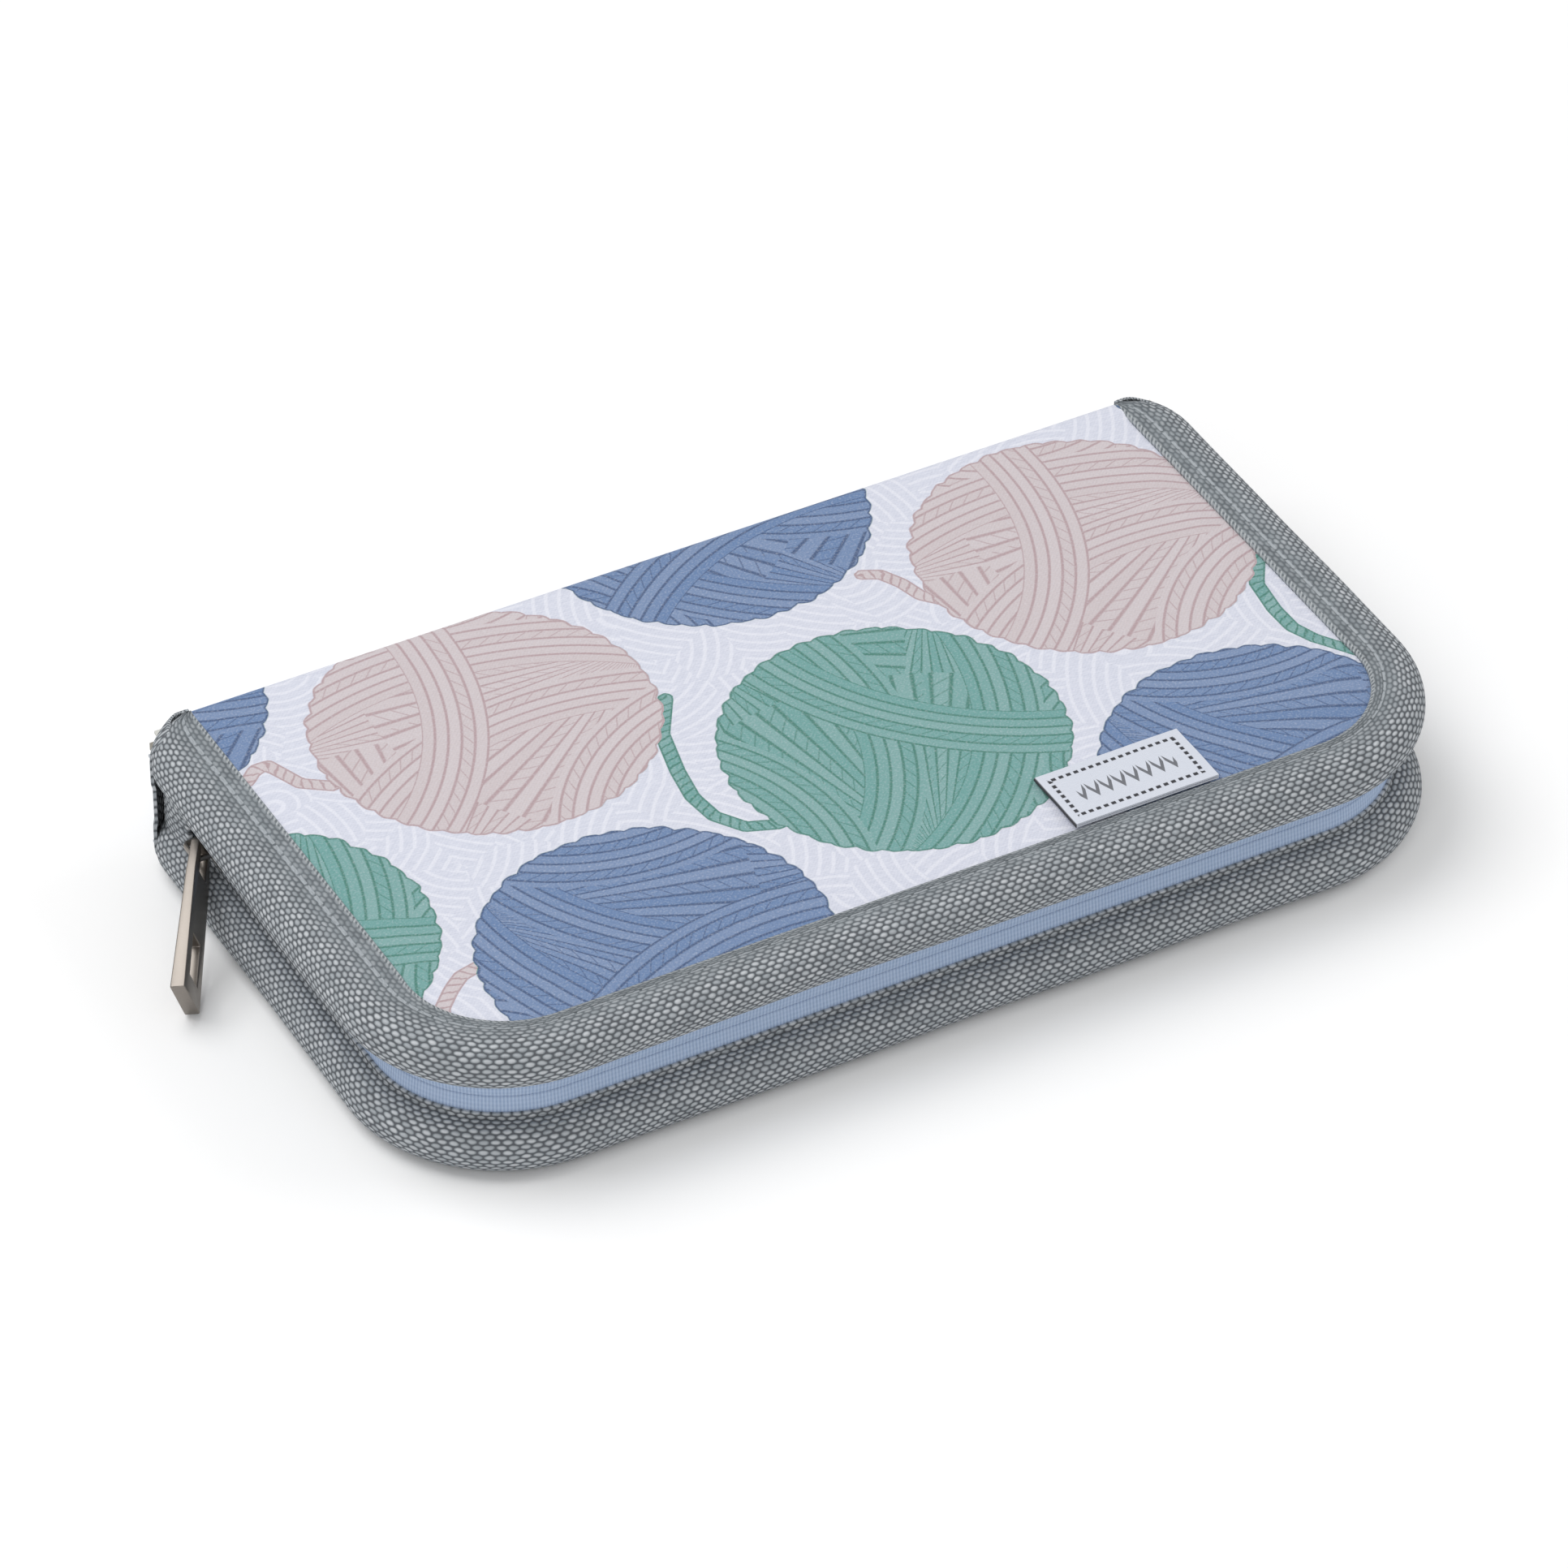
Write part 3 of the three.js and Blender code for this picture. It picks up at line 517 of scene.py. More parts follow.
class Graph:
    """A small hand for drawing shader nodes."""

    def __init__(self, tree: bpy.types.NodeTree) -> None:
        """Works in this node tree."""
        self.tree = tree

    def add(self, kind: str, inputs: Optional[dict] = None, **settings: object) -> bpy.types.Node:
        """Adds a node, sets its options and fills or links its inputs."""
        node = self.tree.nodes.new("ShaderNode" + kind)
        for key, value in settings.items():
            setattr(node, key, value)
        for key, value in (inputs or {}).items():
            if isinstance(value, Socket):
                self.tree.links.new(value, node.inputs[key])
            else:
                node.inputs[key].default_value = value
        return node

    def math(self, operation: str, a: Value, b: Value = 0.0, c: Value = 0.0) -> Socket:
        """Returns the result of one sum."""
        return self.add("Math", {0: a, 1: b, 2: c}, operation=operation).outputs[0]

    def times(self, a: Value, b: Value) -> Socket:
        """Returns a times b."""
        return self.math("MULTIPLY", a, b)

    def plus(self, a: Value, b: Value) -> Socket:
        """Returns a plus b."""
        return self.math("ADD", a, b)

    def minus(self, a: Value, b: Value) -> Socket:
        """Returns a minus b."""
        return self.math("SUBTRACT", a, b)

    def over(self, a: Value, b: Value) -> Socket:
        """Returns a divided by b."""
        return self.math("DIVIDE", a, b)

    def part(self, a: Value) -> Socket:
        """Returns what a has past a whole number."""
        return self.math("FRACT", a)

    def sine(self, a: Value) -> Socket:
        """Returns the sine of an angle."""
        return self.math("SINE", a)

    def size(self, a: Value) -> Socket:
        """Returns a without its sign."""
        return self.math("ABSOLUTE", a)

    def floor(self, a: Value) -> Socket:
        """Returns the whole number at or under a."""
        return self.math("FLOOR", a)

    def mix(self, factor: Value, a: Value, b: Value, blend: str = "MIX") -> Socket:
        """Returns a mix of two colours."""
        node = self.add("Mix", {0: factor, 6: a, 7: b}, data_type="RGBA", blend_type=blend)
        return node.outputs[2]

    def step(self, value: Value, low: float, high: float) -> Socket:
        """Returns a smooth rise from 0 at low to 1 at high, or a fall where high is less."""
        node = self.add("MapRange", {0: value, 1: low, 2: high},
                        interpolation_type="SMOOTHSTEP")
        return node.outputs[0]

    def vector(self, operation: str, a: Value, b: Value = (0, 0, 0)) -> Socket:
        """Returns the vector result of one vector sum."""
        return self.add("VectorMath", {0: a, 1: b}, operation=operation).outputs[0]

    def length(self, a: Value) -> Socket:
        """Returns a vector's length."""
        return self.add("VectorMath", {0: a}, operation="LENGTH").outputs["Value"]

    def split(self, vector: Value) -> tuple[Socket, Socket, Socket]:
        """Returns a vector's three parts."""
        outputs = self.add("SeparateXYZ", {0: vector}).outputs
        return outputs[0], outputs[1], outputs[2]

    def join(self, x: Value, y: Value, z: Value = 0.0) -> Socket:
        """Returns a vector made of three parts."""
        return self.add("CombineXYZ", {0: x, 1: y, 2: z}).outputs[0]

    def noise(self, vector: Value, scale: float, detail: float = 2.0,
              roughness: float = 0.5) -> Socket:
        """Returns soft noise from 0 to 1."""
        node = self.add("TexNoise", {"Vector": vector, "Scale": scale, "Detail": detail,
                                     "Roughness": roughness})
        return node.outputs[0]

    def bump(self, height: Value, strength: float, distance: float,
             normal: Optional[Socket] = None) -> Socket:
        """Returns the normal of a surface raised by a height from 0 to 1, distance in mm."""
        inputs = {"Height": height, "Strength": strength, "Distance": distance * MM}
        if normal is not None:
            inputs["Normal"] = normal
        return self.add("Bump", inputs).outputs[0]

    def uv(self, name: str = "cloth") -> Socket:
        """Returns the piece's own UV map."""
        return self.add("UVMap", uv_map=name).outputs[0]

    def own(self) -> Socket:
        """Returns the place on the piece, in mm."""
        place = self.add("TexCoord").outputs["Object"]
        return self.add("VectorMath", {0: place, "Scale": 1 / MM}, operation="SCALE").outputs[0]

    def value(self, name: str) -> Socket:
        """Returns an attribute of the piece."""
        return self.add("Attribute", attribute_name=name).outputs["Fac"]


def node_group(name: str, takes: dict[str, str], gives: dict[str, str],
               draw: Callable[[Graph, dict[str, Socket]], dict[str, Socket]]) -> Callable:
    """Builds a shader node group once.

    Args:
        name: the group's name.
        takes: its inputs and their kinds, such as Float, Vector or Color.
        gives: its outputs and their kinds.
        draw: draws the nodes between the inputs and the outputs.

    Returns:
        A function that places the group in a graph and returns its outputs.
    """
    tree = bpy.data.node_groups.new(name, "ShaderNodeTree")
    for label, kind in takes.items():
        tree.interface.new_socket(label, in_out="INPUT", socket_type="NodeSocket" + kind)
    for label, kind in gives.items():
        tree.interface.new_socket(label, in_out="OUTPUT", socket_type="NodeSocket" + kind)
    source, sink = tree.nodes.new("NodeGroupInput"), tree.nodes.new("NodeGroupOutput")
    made = draw(Graph(tree), {label: source.outputs[label] for label in takes})
    for label, socket in made.items():
        tree.links.new(socket, sink.inputs[label])

    def place(graph: Graph, **inputs: Value) -> dict[str, Socket]:
        """Places the group with these inputs."""
        node = graph.add("Group", None, node_tree=tree)
        for label, value in inputs.items():
            socket = node.inputs[label.replace("_", " ")]
            if isinstance(value, Socket):
                graph.tree.links.new(value, socket)
            else:
                socket.default_value = value
        return {label: node.outputs[label] for label in gives}

    return place


def draw_plain_weave(graph: Graph, given: dict[str, Socket]) -> dict[str, Socket]:
    """Draws fine crossing threads."""
    scaled = graph.add("VectorMath", {0: given["Vector"], "Scale": given["Threads"]},
                       operation="SCALE").outputs[0]
    across, along, _ = graph.split(scaled)
    a = graph.sine(graph.times(across, math.pi))
    b = graph.sine(graph.times(along, math.pi))
    height = graph.math("MULTIPLY_ADD", graph.times(a, b), 0.5, 0.5)
    patchy = graph.noise(given["Vector"], 1.6, 3, 0.7)
    return {"Height": graph.times(height, graph.step(patchy, 0.2, 0.8))}


def draw_basket_weave(graph: Graph, given: dict[str, Socket]) -> dict[str, Socket]:
    """Draws rows of raised oval floats, each row set half a float along from the last."""
    along, across, _ = graph.split(given["Vector"])
    row = graph.over(across, given["Row"])
    shift = graph.times(graph.math("FLOORED_MODULO", graph.floor(row), 2), 0.5)
    cell = graph.plus(graph.over(along, given["Pitch"]), shift)
    u = graph.minus(graph.part(cell), 0.5)
    v = graph.minus(graph.part(row), 0.5)
    reach = graph.length(graph.join(graph.times(u, 2.1), graph.times(v, 1.9)))
    pick = graph.join(graph.floor(cell), graph.floor(row))
    chance = graph.add("TexWhiteNoise", {"Vector": pick}, noise_dimensions="2D").outputs[0]
    return {"Height": graph.step(reach, 1.15, 0.1), "Float": graph.step(reach, 0.95, 0.45),
            "Chance": chance}


def draw_strands(graph: Graph, given: dict[str, Socket]) -> dict[str, Socket]:
    """Draws one bundle of strands, in arcs or in a fan, over what lies below."""
    away = graph.vector("SUBTRACT", given["Vector"], given["Centre"])
    reach = graph.length(away)
    over = graph.times(graph.step(graph.minus(reach, given["Inner"]), 0, 0.15),
                       graph.step(graph.minus(given["Outer"], reach), 0, 0.15))
    x, y, _ = graph.split(away)
    turn = graph.times(graph.math("ARCTAN2", y, x), graph.over(given["Outer"], 1.6))
    depth = graph.minus(reach, given["Inner"])
    run = graph.add("Mix", {0: given["Fan"], 2: depth, 3: turn}, data_type="FLOAT").outputs[0]
    phase = graph.over(run, given["Pitch"])
    from_middle = graph.size(graph.minus(graph.part(phase), 0.5))
    line = graph.step(from_middle, 0.33, 0.46)
    length = graph.add("Mix", {0: given["Fan"], 2: graph.times(turn, 1.6), 3: reach},
                       data_type="FLOAT").outputs[0]
    slant = graph.math("MULTIPLY_ADD", graph.part(phase), 0.9, graph.over(length, given["Tick"]))
    tick = graph.step(graph.size(graph.minus(graph.part(slant), 0.5)), 0.4, 0.48)
    twisted = graph.math("GREATER_THAN", graph.part(graph.times(graph.floor(phase), 0.618)), 0.62)
    line = graph.math("MAXIMUM", line, graph.times(graph.times(tick, twisted), 0.7))
    tint = graph.part(graph.times(graph.floor(phase), 0.377))
    return {"Line": graph.mix(over, given["Line below"], line),
            "Tint": graph.mix(over, given["Tint below"], tint)}


@dataclass(frozen=True)
class Strands:
    """One bundle of a printed ball.

    It has a middle and two radii in mm. Its strands run in arcs round the middle, or spread
    from it where fan is 1. The pitch is the strands' width and the tick their twist, in mm.
    """

    centre: Pair
    inner: float
    outer: float
    fan: float = 0
    pitch: float = 2.35
    tick: float = 3.4


BALL_RADIUS = 31.5
BALL_BUNDLES = (
    Strands((70, -62), 40, 150),
    Strands((-40, 8), 0, 44, fan=1),
    Strands((-26, -36), 0, 40, fan=1),
    Strands((34, 6), 0, 52, fan=1),
    Strands((10, 58), 22, 40),
    Strands((8, -58), 52, 63),
    Strands((-6, -46), 60, 73),
    Strands((40, -52), 30, 48),
    Strands((-62, 26), 56, 68),
)


@dataclass(frozen=True)
class Ball:
    """One printed ball of yarn: its middle on the unfolded cloth, its colour and its turn."""

    x: float
    y: float
    tone: Tone
    turn: float = 0


@dataclass(frozen=True)
class PrintLayout:
    """Where the printed balls and their loose tails lie on the unfolded cloth, in mm."""

    lid: tuple[Ball, ...] = (
        Ball(-50, 28, Tone.BEIGE), Ball(67.4, 21.5, Tone.BEIGE), Ball(10.7, -10.5, Tone.GREEN),
        Ball(10.4, 61.5, Tone.BLUE), Ball(-52, -40, Tone.BLUE), Ball(67, -47, Tone.BLUE),
        Ball(-112, -8, Tone.GREEN), Ball(-110, 63, Tone.BLUE), Ball(124.5, 60, Tone.BLUE),
    )
    column: float = 119.7
    row: float = 140
    tails: tuple[tuple[Pair, ...], ...] = (
        ((-93.6, 33.4), (-91.2, 35.4), (-88.8, 35.1), (-86, 28), (-81.4, 24.7)),
        ((28.3, 32.9), (31.2, 31.4), (33.3, 27.4), (34.6, 22.6), (37.7, 19.1)),
        ((-19.2, 18.5), (-24.4, 10), (-26.9, -0.5), (-28, -8), (-27.2, -14.4), (-23.8, -19.6),
         (-18.4, -21.7)),
        ((-93.3, -42.1), (-91.6, -37), (-88.4, -34), (-85, -31.4), (-81.3, -30.6)),
        ((93.2, 3.6), (89, -3), (87.9, -11), (88, -17), (89.9, -21.5), (95.7, -28.6)),
    )
    tail_tones: tuple[Tone, ...] = (Tone.BEIGE, Tone.BEIGE, Tone.GREEN, Tone.BEIGE, Tone.GREEN)

    def balls(self) -> list[Ball]:
        """Returns the lid's balls and the rows that carry on over the spine and the base."""
        found = list(self.lid)
        for column in range(-2, 3):
            for row in range(0, 3):
                x, y = column * self.column, row * self.row
                found += [Ball(x - 51, y + 96, Tone.BLUE), Ball(x - 51, y + 166, Tone.BEIGE),
                          Ball(x + 9, y + 131, Tone.GREEN), Ball(x + 9, y + 201, Tone.BLUE)]
        return found

    def print_on(self, piece: Object, cloth: np.ndarray) -> None:
        """Stores the printed pattern's coordinates on a piece.

        Args:
            piece: the printed piece.
            cloth: each point's place on the unfolded cloth, in mm.
        """
        balls = self.balls()
        centres = np.array([(b.x, b.y) for b in balls])
        away = cloth[:, None, :] - centres[None, :, :]
        nearest = np.argmin(np.hypot(away[..., 0], away[..., 1]), axis=1)
        local = away[np.arange(len(cloth)), nearest]
        tones = np.array([b.tone.value for b in balls])[nearest]
        turn = np.radians(np.array([b.turn + 115 * b.tone.value for b in balls]))[nearest]
        spun = np.stack([local[:, 0] * np.cos(turn) - local[:, 1] * np.sin(turn),
                         local[:, 0] * np.sin(turn) + local[:, 1] * np.cos(turn)], axis=1)
        Bench.lay_uv(piece, cloth, "cloth")
        Bench.lay_uv(piece, spun, "ball")
        Bench.store(piece, "ball_reach", np.hypot(local[:, 0], local[:, 1]))
        Bench.store(piece, "ball_tone", tones)
        across, along = np.full(len(cloth), 20.0), np.zeros(len(cloth))
        sides = np.ones(len(cloth))
        tail_tone = np.zeros(len(cloth))
        for tone, tail in zip(self.tail_tones, self.tails):
            run = 0.0
            for start, end in zip(tail, tail[1:]):
                start, end = np.array(start), np.array(end)
                step = end - start
                length = np.hypot(*step)
                t = np.clip(((cloth - start) @ step) / length ** 2, 0, 1)
                gap = cloth - start - t[:, None] * step
                reach = np.hypot(gap[:, 0], gap[:, 1])
                closer = reach < across
                side = np.sign(step[0] * gap[:, 1] - step[1] * gap[:, 0])
                sides = np.where(closer, side, sides)
                across = np.where(closer, reach, across)
                along = np.where(closer, run + t * length, along)
                tail_tone = np.where(closer, tone.value, tail_tone)
                run += length
        Bench.store(piece, "tail_reach", across)
        Bench.store(piece, "tail_side", sides)
        Bench.store(piece, "tail_along", along)
        Bench.store(piece, "tail_tone", tail_tone)


class Finishes:
    """Every finish of the case, each made once."""

    def __init__(self) -> None:
        """Builds the shared groups and then the materials."""
        self.plain_weave = node_group("Plain weave", {"Vector": "Vector", "Threads": "Float"},
                                      {"Height": "Float"}, draw_plain_weave)
        self.basket_weave = node_group(
            "Basket weave", {"Vector": "Vector", "Pitch": "Float", "Row": "Float"},
            {"Height": "Float", "Float": "Float", "Chance": "Float"}, draw_basket_weave)
        self.strands = node_group(
            "Strands", {"Vector": "Vector", "Centre": "Vector", "Inner": "Float",
                        "Outer": "Float", "Fan": "Float", "Pitch": "Float", "Tick": "Float",
                        "Line below": "Color", "Tint below": "Color"},
            {"Line": "Color", "Tint": "Color"}, draw_strands)
        self.printed = self.make("Printed cotton", self.draw_print, Roughness=0.85)
        self.webbing = self.make("Flecked webbing", self.draw_webbing, Roughness=0.9)
        self.tape = self.make("Zip tape", self.draw_tape, Roughness=0.8)
        self.coil = self.cloth("Zip coil", linear(150, 168, 200), 0.45, 0.4)
        self.lining = self.cloth("Lining cotton", linear(196, 201, 208), 0.85, 1.0)
        self.pocket = self.cloth("Pocket cotton", linear(172, 182, 196), 0.85, 1.0)
        self.foam = self.make("Foam", self.draw_foam, Roughness=0.95)
        self.board = self.make("Grey board", self.draw_board, Roughness=0.9)
        self.nickel = self.metal("Dark nickel", linear(128, 122, 116), 0.38)
        self.brass = self.metal("Brass", linear(214, 178, 98), 0.28)
        self.label = self.make("Satin label", self.draw_label, Roughness=0.5)
        self.thread = self.cloth("Pale thread", linear(206, 210, 216), 0.7, 2.0)
        self.wood = self.make("Layered birch", self.draw_wood, Roughness=0.35)
        self.cable = self.cloth("Coated cable", linear(120, 60, 140), 0.35, 0.3)
        self.plastic = self.cloth("Moulded plastic", linear(110, 130, 170), 0.4, 0.3)

    def make(self, name: str, draw: Callable[[Graph], dict[str, Value]],
             **constants: float) -> Material:
        """Builds one material.

        Args:
            name: the finish's name.
            draw: draws its nodes and returns what feeds the shader.
            constants: numbers that hold all over the surface.

        Returns:
            The material.
        """
        material = bpy.data.materials.new(name)
        material.use_nodes = True
        tree = material.node_tree
        tree.nodes.clear()
        graph = Graph(tree)
        shader = graph.add("BsdfPrincipled")
        for label, value in constants.items():
            shader.inputs[label.replace("_", " ")].default_value = value
        for label, value in draw(graph).items():
            if isinstance(value, Socket):
                tree.links.new(value, shader.inputs[label])
            else:
                shader.inputs[label].default_value = value
        output = graph.add("OutputMaterial")
        tree.links.new(shader.outputs[0], output.inputs[0])
        return material

    def draw_print(self, graph: Graph) -> dict[str, Value]:
        """Draws the yarn balls, their tails and the pale ground."""
        cloth, ball = graph.uv("cloth"), graph.uv("ball")
        reach, tone = graph.value("ball_reach"), graph.value("ball_tone")
        grain = graph.noise(cloth, 2.2, 3, 0.7)
        streak = graph.noise(graph.vector("MULTIPLY", cloth, (0.5, 2.2, 1)), 1.1, 3, 0.65)
        ground = graph.mix(graph.step(streak, 0.35, 0.7), linear(206, 209, 222),
                           linear(217, 219, 230))
        cells = graph.add("TexVoronoi", {"Vector": cloth, "Scale": 0.085, "Randomness": 0.7})
        middle = graph.add("VectorMath", {0: cells.outputs["Position"], "Scale": 1.0},
                           operation="SCALE").outputs[0]
        aside = graph.vector("SUBTRACT", cloth, middle)
        pick = graph.split(cells.outputs["Color"])
        throw = [graph.math("MULTIPLY_ADD", share, 60, -30) for share in pick[:2]]
        stroke = graph.length(graph.vector("ADD", aside, graph.join(*throw)))
        ring = graph.size(graph.minus(graph.part(graph.over(stroke, 2.3)), 0.5))
        ground = graph.mix(graph.times(graph.step(ring, 0.3, 0.42), 0.55), ground,
                           linear(230, 231, 239))
        line, tint = linear(0, 0, 0), linear(128, 128, 128)
        for bundle in BALL_BUNDLES:
            drawn = self.strands(graph, Vector=ball, Centre=(*bundle.centre, 0),
                                 Inner=bundle.inner, Outer=bundle.outer, Fan=bundle.fan,
                                 Pitch=bundle.pitch, Tick=bundle.tick, Line_below=line,
                                 Tint_below=tint)
            line, tint = drawn["Line"], drawn["Tint"]
        tail_across = graph.value("tail_reach")
        tail_along = graph.value("tail_along")
        lean = graph.times(graph.value("tail_side"), tail_across)
        tick = graph.part(graph.plus(graph.over(tail_along, 1.9), graph.times(lean, 0.3)))
        on_tail = graph.step(tail_across, 1.55, 1.35)
        tail_line = graph.math("MAXIMUM", graph.step(tail_across, 0.95, 1.25),
                               graph.step(graph.size(graph.minus(tick, 0.5)), 0.3, 0.45))
        east, north, _ = graph.split(ball)
        scallop = graph.size(graph.sine(graph.times(graph.math("ARCTAN2", north, east), 22)))
        wave = graph.math("MULTIPLY_ADD", scallop, 0.55,
                          graph.times(graph.noise(ball, 0.3, 1), 1.2))
        edge_wave = graph.plus(wave, BALL_RADIUS - 1)
        inside = graph.step(graph.minus(edge_wave, reach), 0, 0.3)
        rim = graph.step(graph.minus(edge_wave, reach), 0.7, 0.35)
        ink = graph.math("MAXIMUM", graph.add("RGBToBW", {0: line}).outputs[0], rim)
        which = graph.mix(inside, graph.value("tail_tone"), tone)
        ink = graph.mix(inside, tail_line, ink)
        is_blue, is_green = graph.step(which, 1.4, 1.6), graph.step(which, 0.4, 0.6)
        fill = graph.mix(is_blue, graph.mix(is_green, linear(200, 189, 191),
                                            linear(108, 158, 154)), linear(102, 128, 168))
        dark = graph.mix(is_blue, graph.mix(is_green, linear(172, 146, 150), linear(62, 120, 106)),
                         linear(62, 82, 118))
        pale = graph.mix(0.35, fill, linear(232, 232, 238))
        fill = graph.mix(graph.times(tint, 0.3), fill, pale)
        yarn = graph.mix(graph.times(ink, 0.85), fill, dark)
        yarn = graph.mix(graph.times(graph.step(grain, 0.45, 0.75), 0.25), yarn,
                         linear(226, 228, 236))
        printed = graph.math("MAXIMUM", inside, on_tail)
        colour = graph.mix(printed, ground, yarn)
        weave = self.plain_weave(graph, Vector=cloth, Threads=2.6)["Height"]
        colour = graph.mix(graph.times(weave, 0.16), colour, linear(150, 154, 170), "MULTIPLY")
        return {"Base Color": colour, "Normal": graph.bump(weave, 0.5, 0.12)}

    def draw_webbing(self, graph: Graph) -> dict[str, Value]:
        """Draws grey webbing with pale floats, a beaded edge, a sunk row of stitches and painted
        shade on the roll.
        """
        cloth = graph.uv()
        along, across, _ = graph.split(cloth)
        wave = graph.times(graph.minus(graph.noise(cloth, 0.3, 2), 0.5), 0.8)
        bent = graph.join(along, graph.plus(across, wave))
        weave = self.basket_weave(graph, Vector=bent, Pitch=1.75, Row=0.92)
        worn = graph.noise(cloth, 0.25, 3)
        base = graph.mix(graph.step(worn, 0.3, 0.7), linear(106, 114, 119), linear(130, 138, 143))
        pale = graph.mix(weave["Chance"], linear(168, 173, 178), linear(206, 209, 213))
        # Painted shade: on the roll the pale floats are dimmed towards the grey and the gaps are
        # made darker, so the roll's sides read darker than the flange on top.
        roll_shade = graph.step(across, 4.0, 9.0)
        pale = graph.mix(roll_shade, graph.mix(0.62, pale, base), pale)
        colour = graph.mix(graph.times(weave["Float"], 0.85), base, pale)
        gap = graph.times(graph.step(weave["Height"], 0.25, 0.02),
                          graph.math("MULTIPLY_ADD", roll_shade, 0.4, 0.5))
        colour = graph.mix(gap, colour, linear(84, 86, 91))
        beads = graph.sine(graph.times(graph.plus(along, across), math.tau / 1.15))
        bead_band = graph.step(across, 1.5, 1.2)
        colour = graph.mix(graph.times(bead_band, graph.step(beads, -0.4, 0.6)), colour,
                           linear(172, 177, 180))
        from_seam = graph.size(graph.minus(across, 3.9))
        thread = graph.times(graph.step(from_seam, 0.42, 0.25),
                             graph.step(graph.size(graph.minus(graph.part(graph.over(along, 3.1)),
                                                               0.5)), 0.44, 0.38))
        colour = graph.mix(graph.times(thread, 0.8), colour, linear(176, 182, 187))
        return {"Base Color": colour, "Normal": graph.bump(weave["Height"], 0.9, 0.28)}

    def draw_tape(self, graph: Graph) -> dict[str, Value]:
        """Draws blue tape with fine cross ribs."""
        along, across, _ = graph.split(graph.uv())
        rib = graph.sine(graph.times(along, math.tau / 0.65))
        cross = graph.sine(graph.times(across, math.tau / 0.9))
        height = graph.math("MULTIPLY_ADD", graph.plus(rib, graph.times(cross, 0.3)), 0.38, 0.5)
        tone = graph.mix(height, linear(138, 160, 194), linear(178, 197, 223))
        worn = graph.noise(graph.uv(), 0.4, 3)
        tone = graph.mix(graph.times(worn, 0.25), tone, linear(196, 206, 226))
        return {"Base Color": tone, "Normal": graph.bump(height, 0.8, 0.12)}

    def draw_foam(self, graph: Graph) -> dict[str, Value]:
        """Draws fine open cells."""
        cells = graph.add("TexVoronoi", {"Vector": graph.own(), "Scale": 2.2}).outputs[0]
        tone = graph.mix(cells, linear(196, 196, 190), linear(226, 226, 220))
        return {"Base Color": tone, "Normal": graph.bump(cells, 0.6, 0.2)}

    def draw_board(self, graph: Graph) -> dict[str, Value]:
        """Draws pressed fibres."""
        fibre = graph.noise(graph.vector("MULTIPLY", graph.own(), (1, 3, 3)), 1.4, 4, 0.7)
        tone = graph.mix(fibre, linear(120, 116, 108), linear(164, 160, 150))
        return {"Base Color": tone, "Normal": graph.bump(fibre, 0.3, 0.1)}

    def draw_label(self, graph: Graph) -> dict[str, Value]:
        """Draws a satin ground, a dashed border and one row of knit stitches."""
        place = graph.uv()
        x, y, _ = graph.split(place)
        from_side = graph.minus(14.4, graph.size(x))
        from_end = graph.minus(7.25, graph.size(y))
        near = graph.math("MINIMUM", from_side, from_end)
        band = graph.times(graph.step(near, 1.5, 1.75), graph.step(near, 2.5, 2.25))
        runs_up = graph.math("LESS_THAN", from_side, from_end)
        along = graph.add("Mix", {0: runs_up, 2: x, 3: y}, data_type="FLOAT").outputs[0]
        dash = graph.part(graph.over(along, 1.5))
        border = graph.times(band, graph.step(dash, 0.62, 0.55))
        column = graph.minus(graph.part(graph.over(x, 2.6)), 0.5)
        lean = graph.times(graph.size(column), 6.5)
        chevron = graph.size(graph.minus(graph.plus(y, 1.6), lean))
        stitch = graph.times(graph.step(chevron, 0.95, 0.7),
                             graph.times(graph.step(from_side, 4.6, 4.8),
                                         graph.step(graph.size(column), 0.44, 0.4)))
        satin = graph.noise(graph.vector("MULTIPLY", place, (0.6, 6, 1)), 1.2, 2)
        ground = graph.mix(satin, linear(200, 205, 217), linear(217, 221, 230))
        ink = graph.math("MAXIMUM", border, graph.times(stitch, 0.8))
        ribs = graph.sine(graph.times(y, math.tau / 0.35))
        fold = graph.step(x, -14.0, -14.25)
        ink = graph.math("MAXIMUM", ink, fold)
        return {"Base Color": graph.mix(ink, ground, linear(48, 48, 54)),
                "Normal": graph.bump(ribs, 0.25, 0.06)}

    def draw_wood(self, graph: Graph) -> dict[str, Value]:
        """Draws thin coloured veneers with a fine grain along the needle."""
        place = graph.own()
        grain = graph.noise(graph.vector("MULTIPLY", place, (0.12, 3, 3)), 1.2, 4, 0.6)
        height = graph.split(place)[2]
        layer = graph.plus(graph.times(height, 0.55), graph.times(grain, 1.2))
        bands = graph.part(layer)
        tone = graph.mix(graph.step(bands, 0.35, 0.5), linear(176, 120, 74), linear(206, 160, 104))
        tone = graph.mix(graph.times(graph.step(grain, 0.5, 0.75), 0.5), tone, linear(120, 74, 44))
        return {"Base Color": tone, "Normal": graph.bump(grain, 0.15, 0.05)}

    def cloth(self, name: str, colour: Sequence[float], roughness: float,
              grain: float) -> Material:
        """Builds a plain material with a fine grain.

        Args:
            name: the finish's name.
            colour: its middle colour in linear light.
            roughness: the shader's roughness.
            grain: how deep the grain is, from 0.

        Returns:
            The material.
        """
        darker = tuple(part * 0.82 for part in colour[:3]) + (1.0,)

        def draw(graph: Graph) -> dict[str, Value]:
            """Draws the grain."""
            place = graph.own()
            weave = self.plain_weave(graph, Vector=place, Threads=2.4)["Height"]
            patch = graph.noise(place, 0.12, 3)
            tone = graph.mix(graph.times(graph.plus(weave, patch), 0.5), darker, colour)
            return {"Base Color": tone, "Normal": graph.bump(weave, 0.3 * grain, 0.08)}

        return self.make(name, draw, Roughness=roughness)

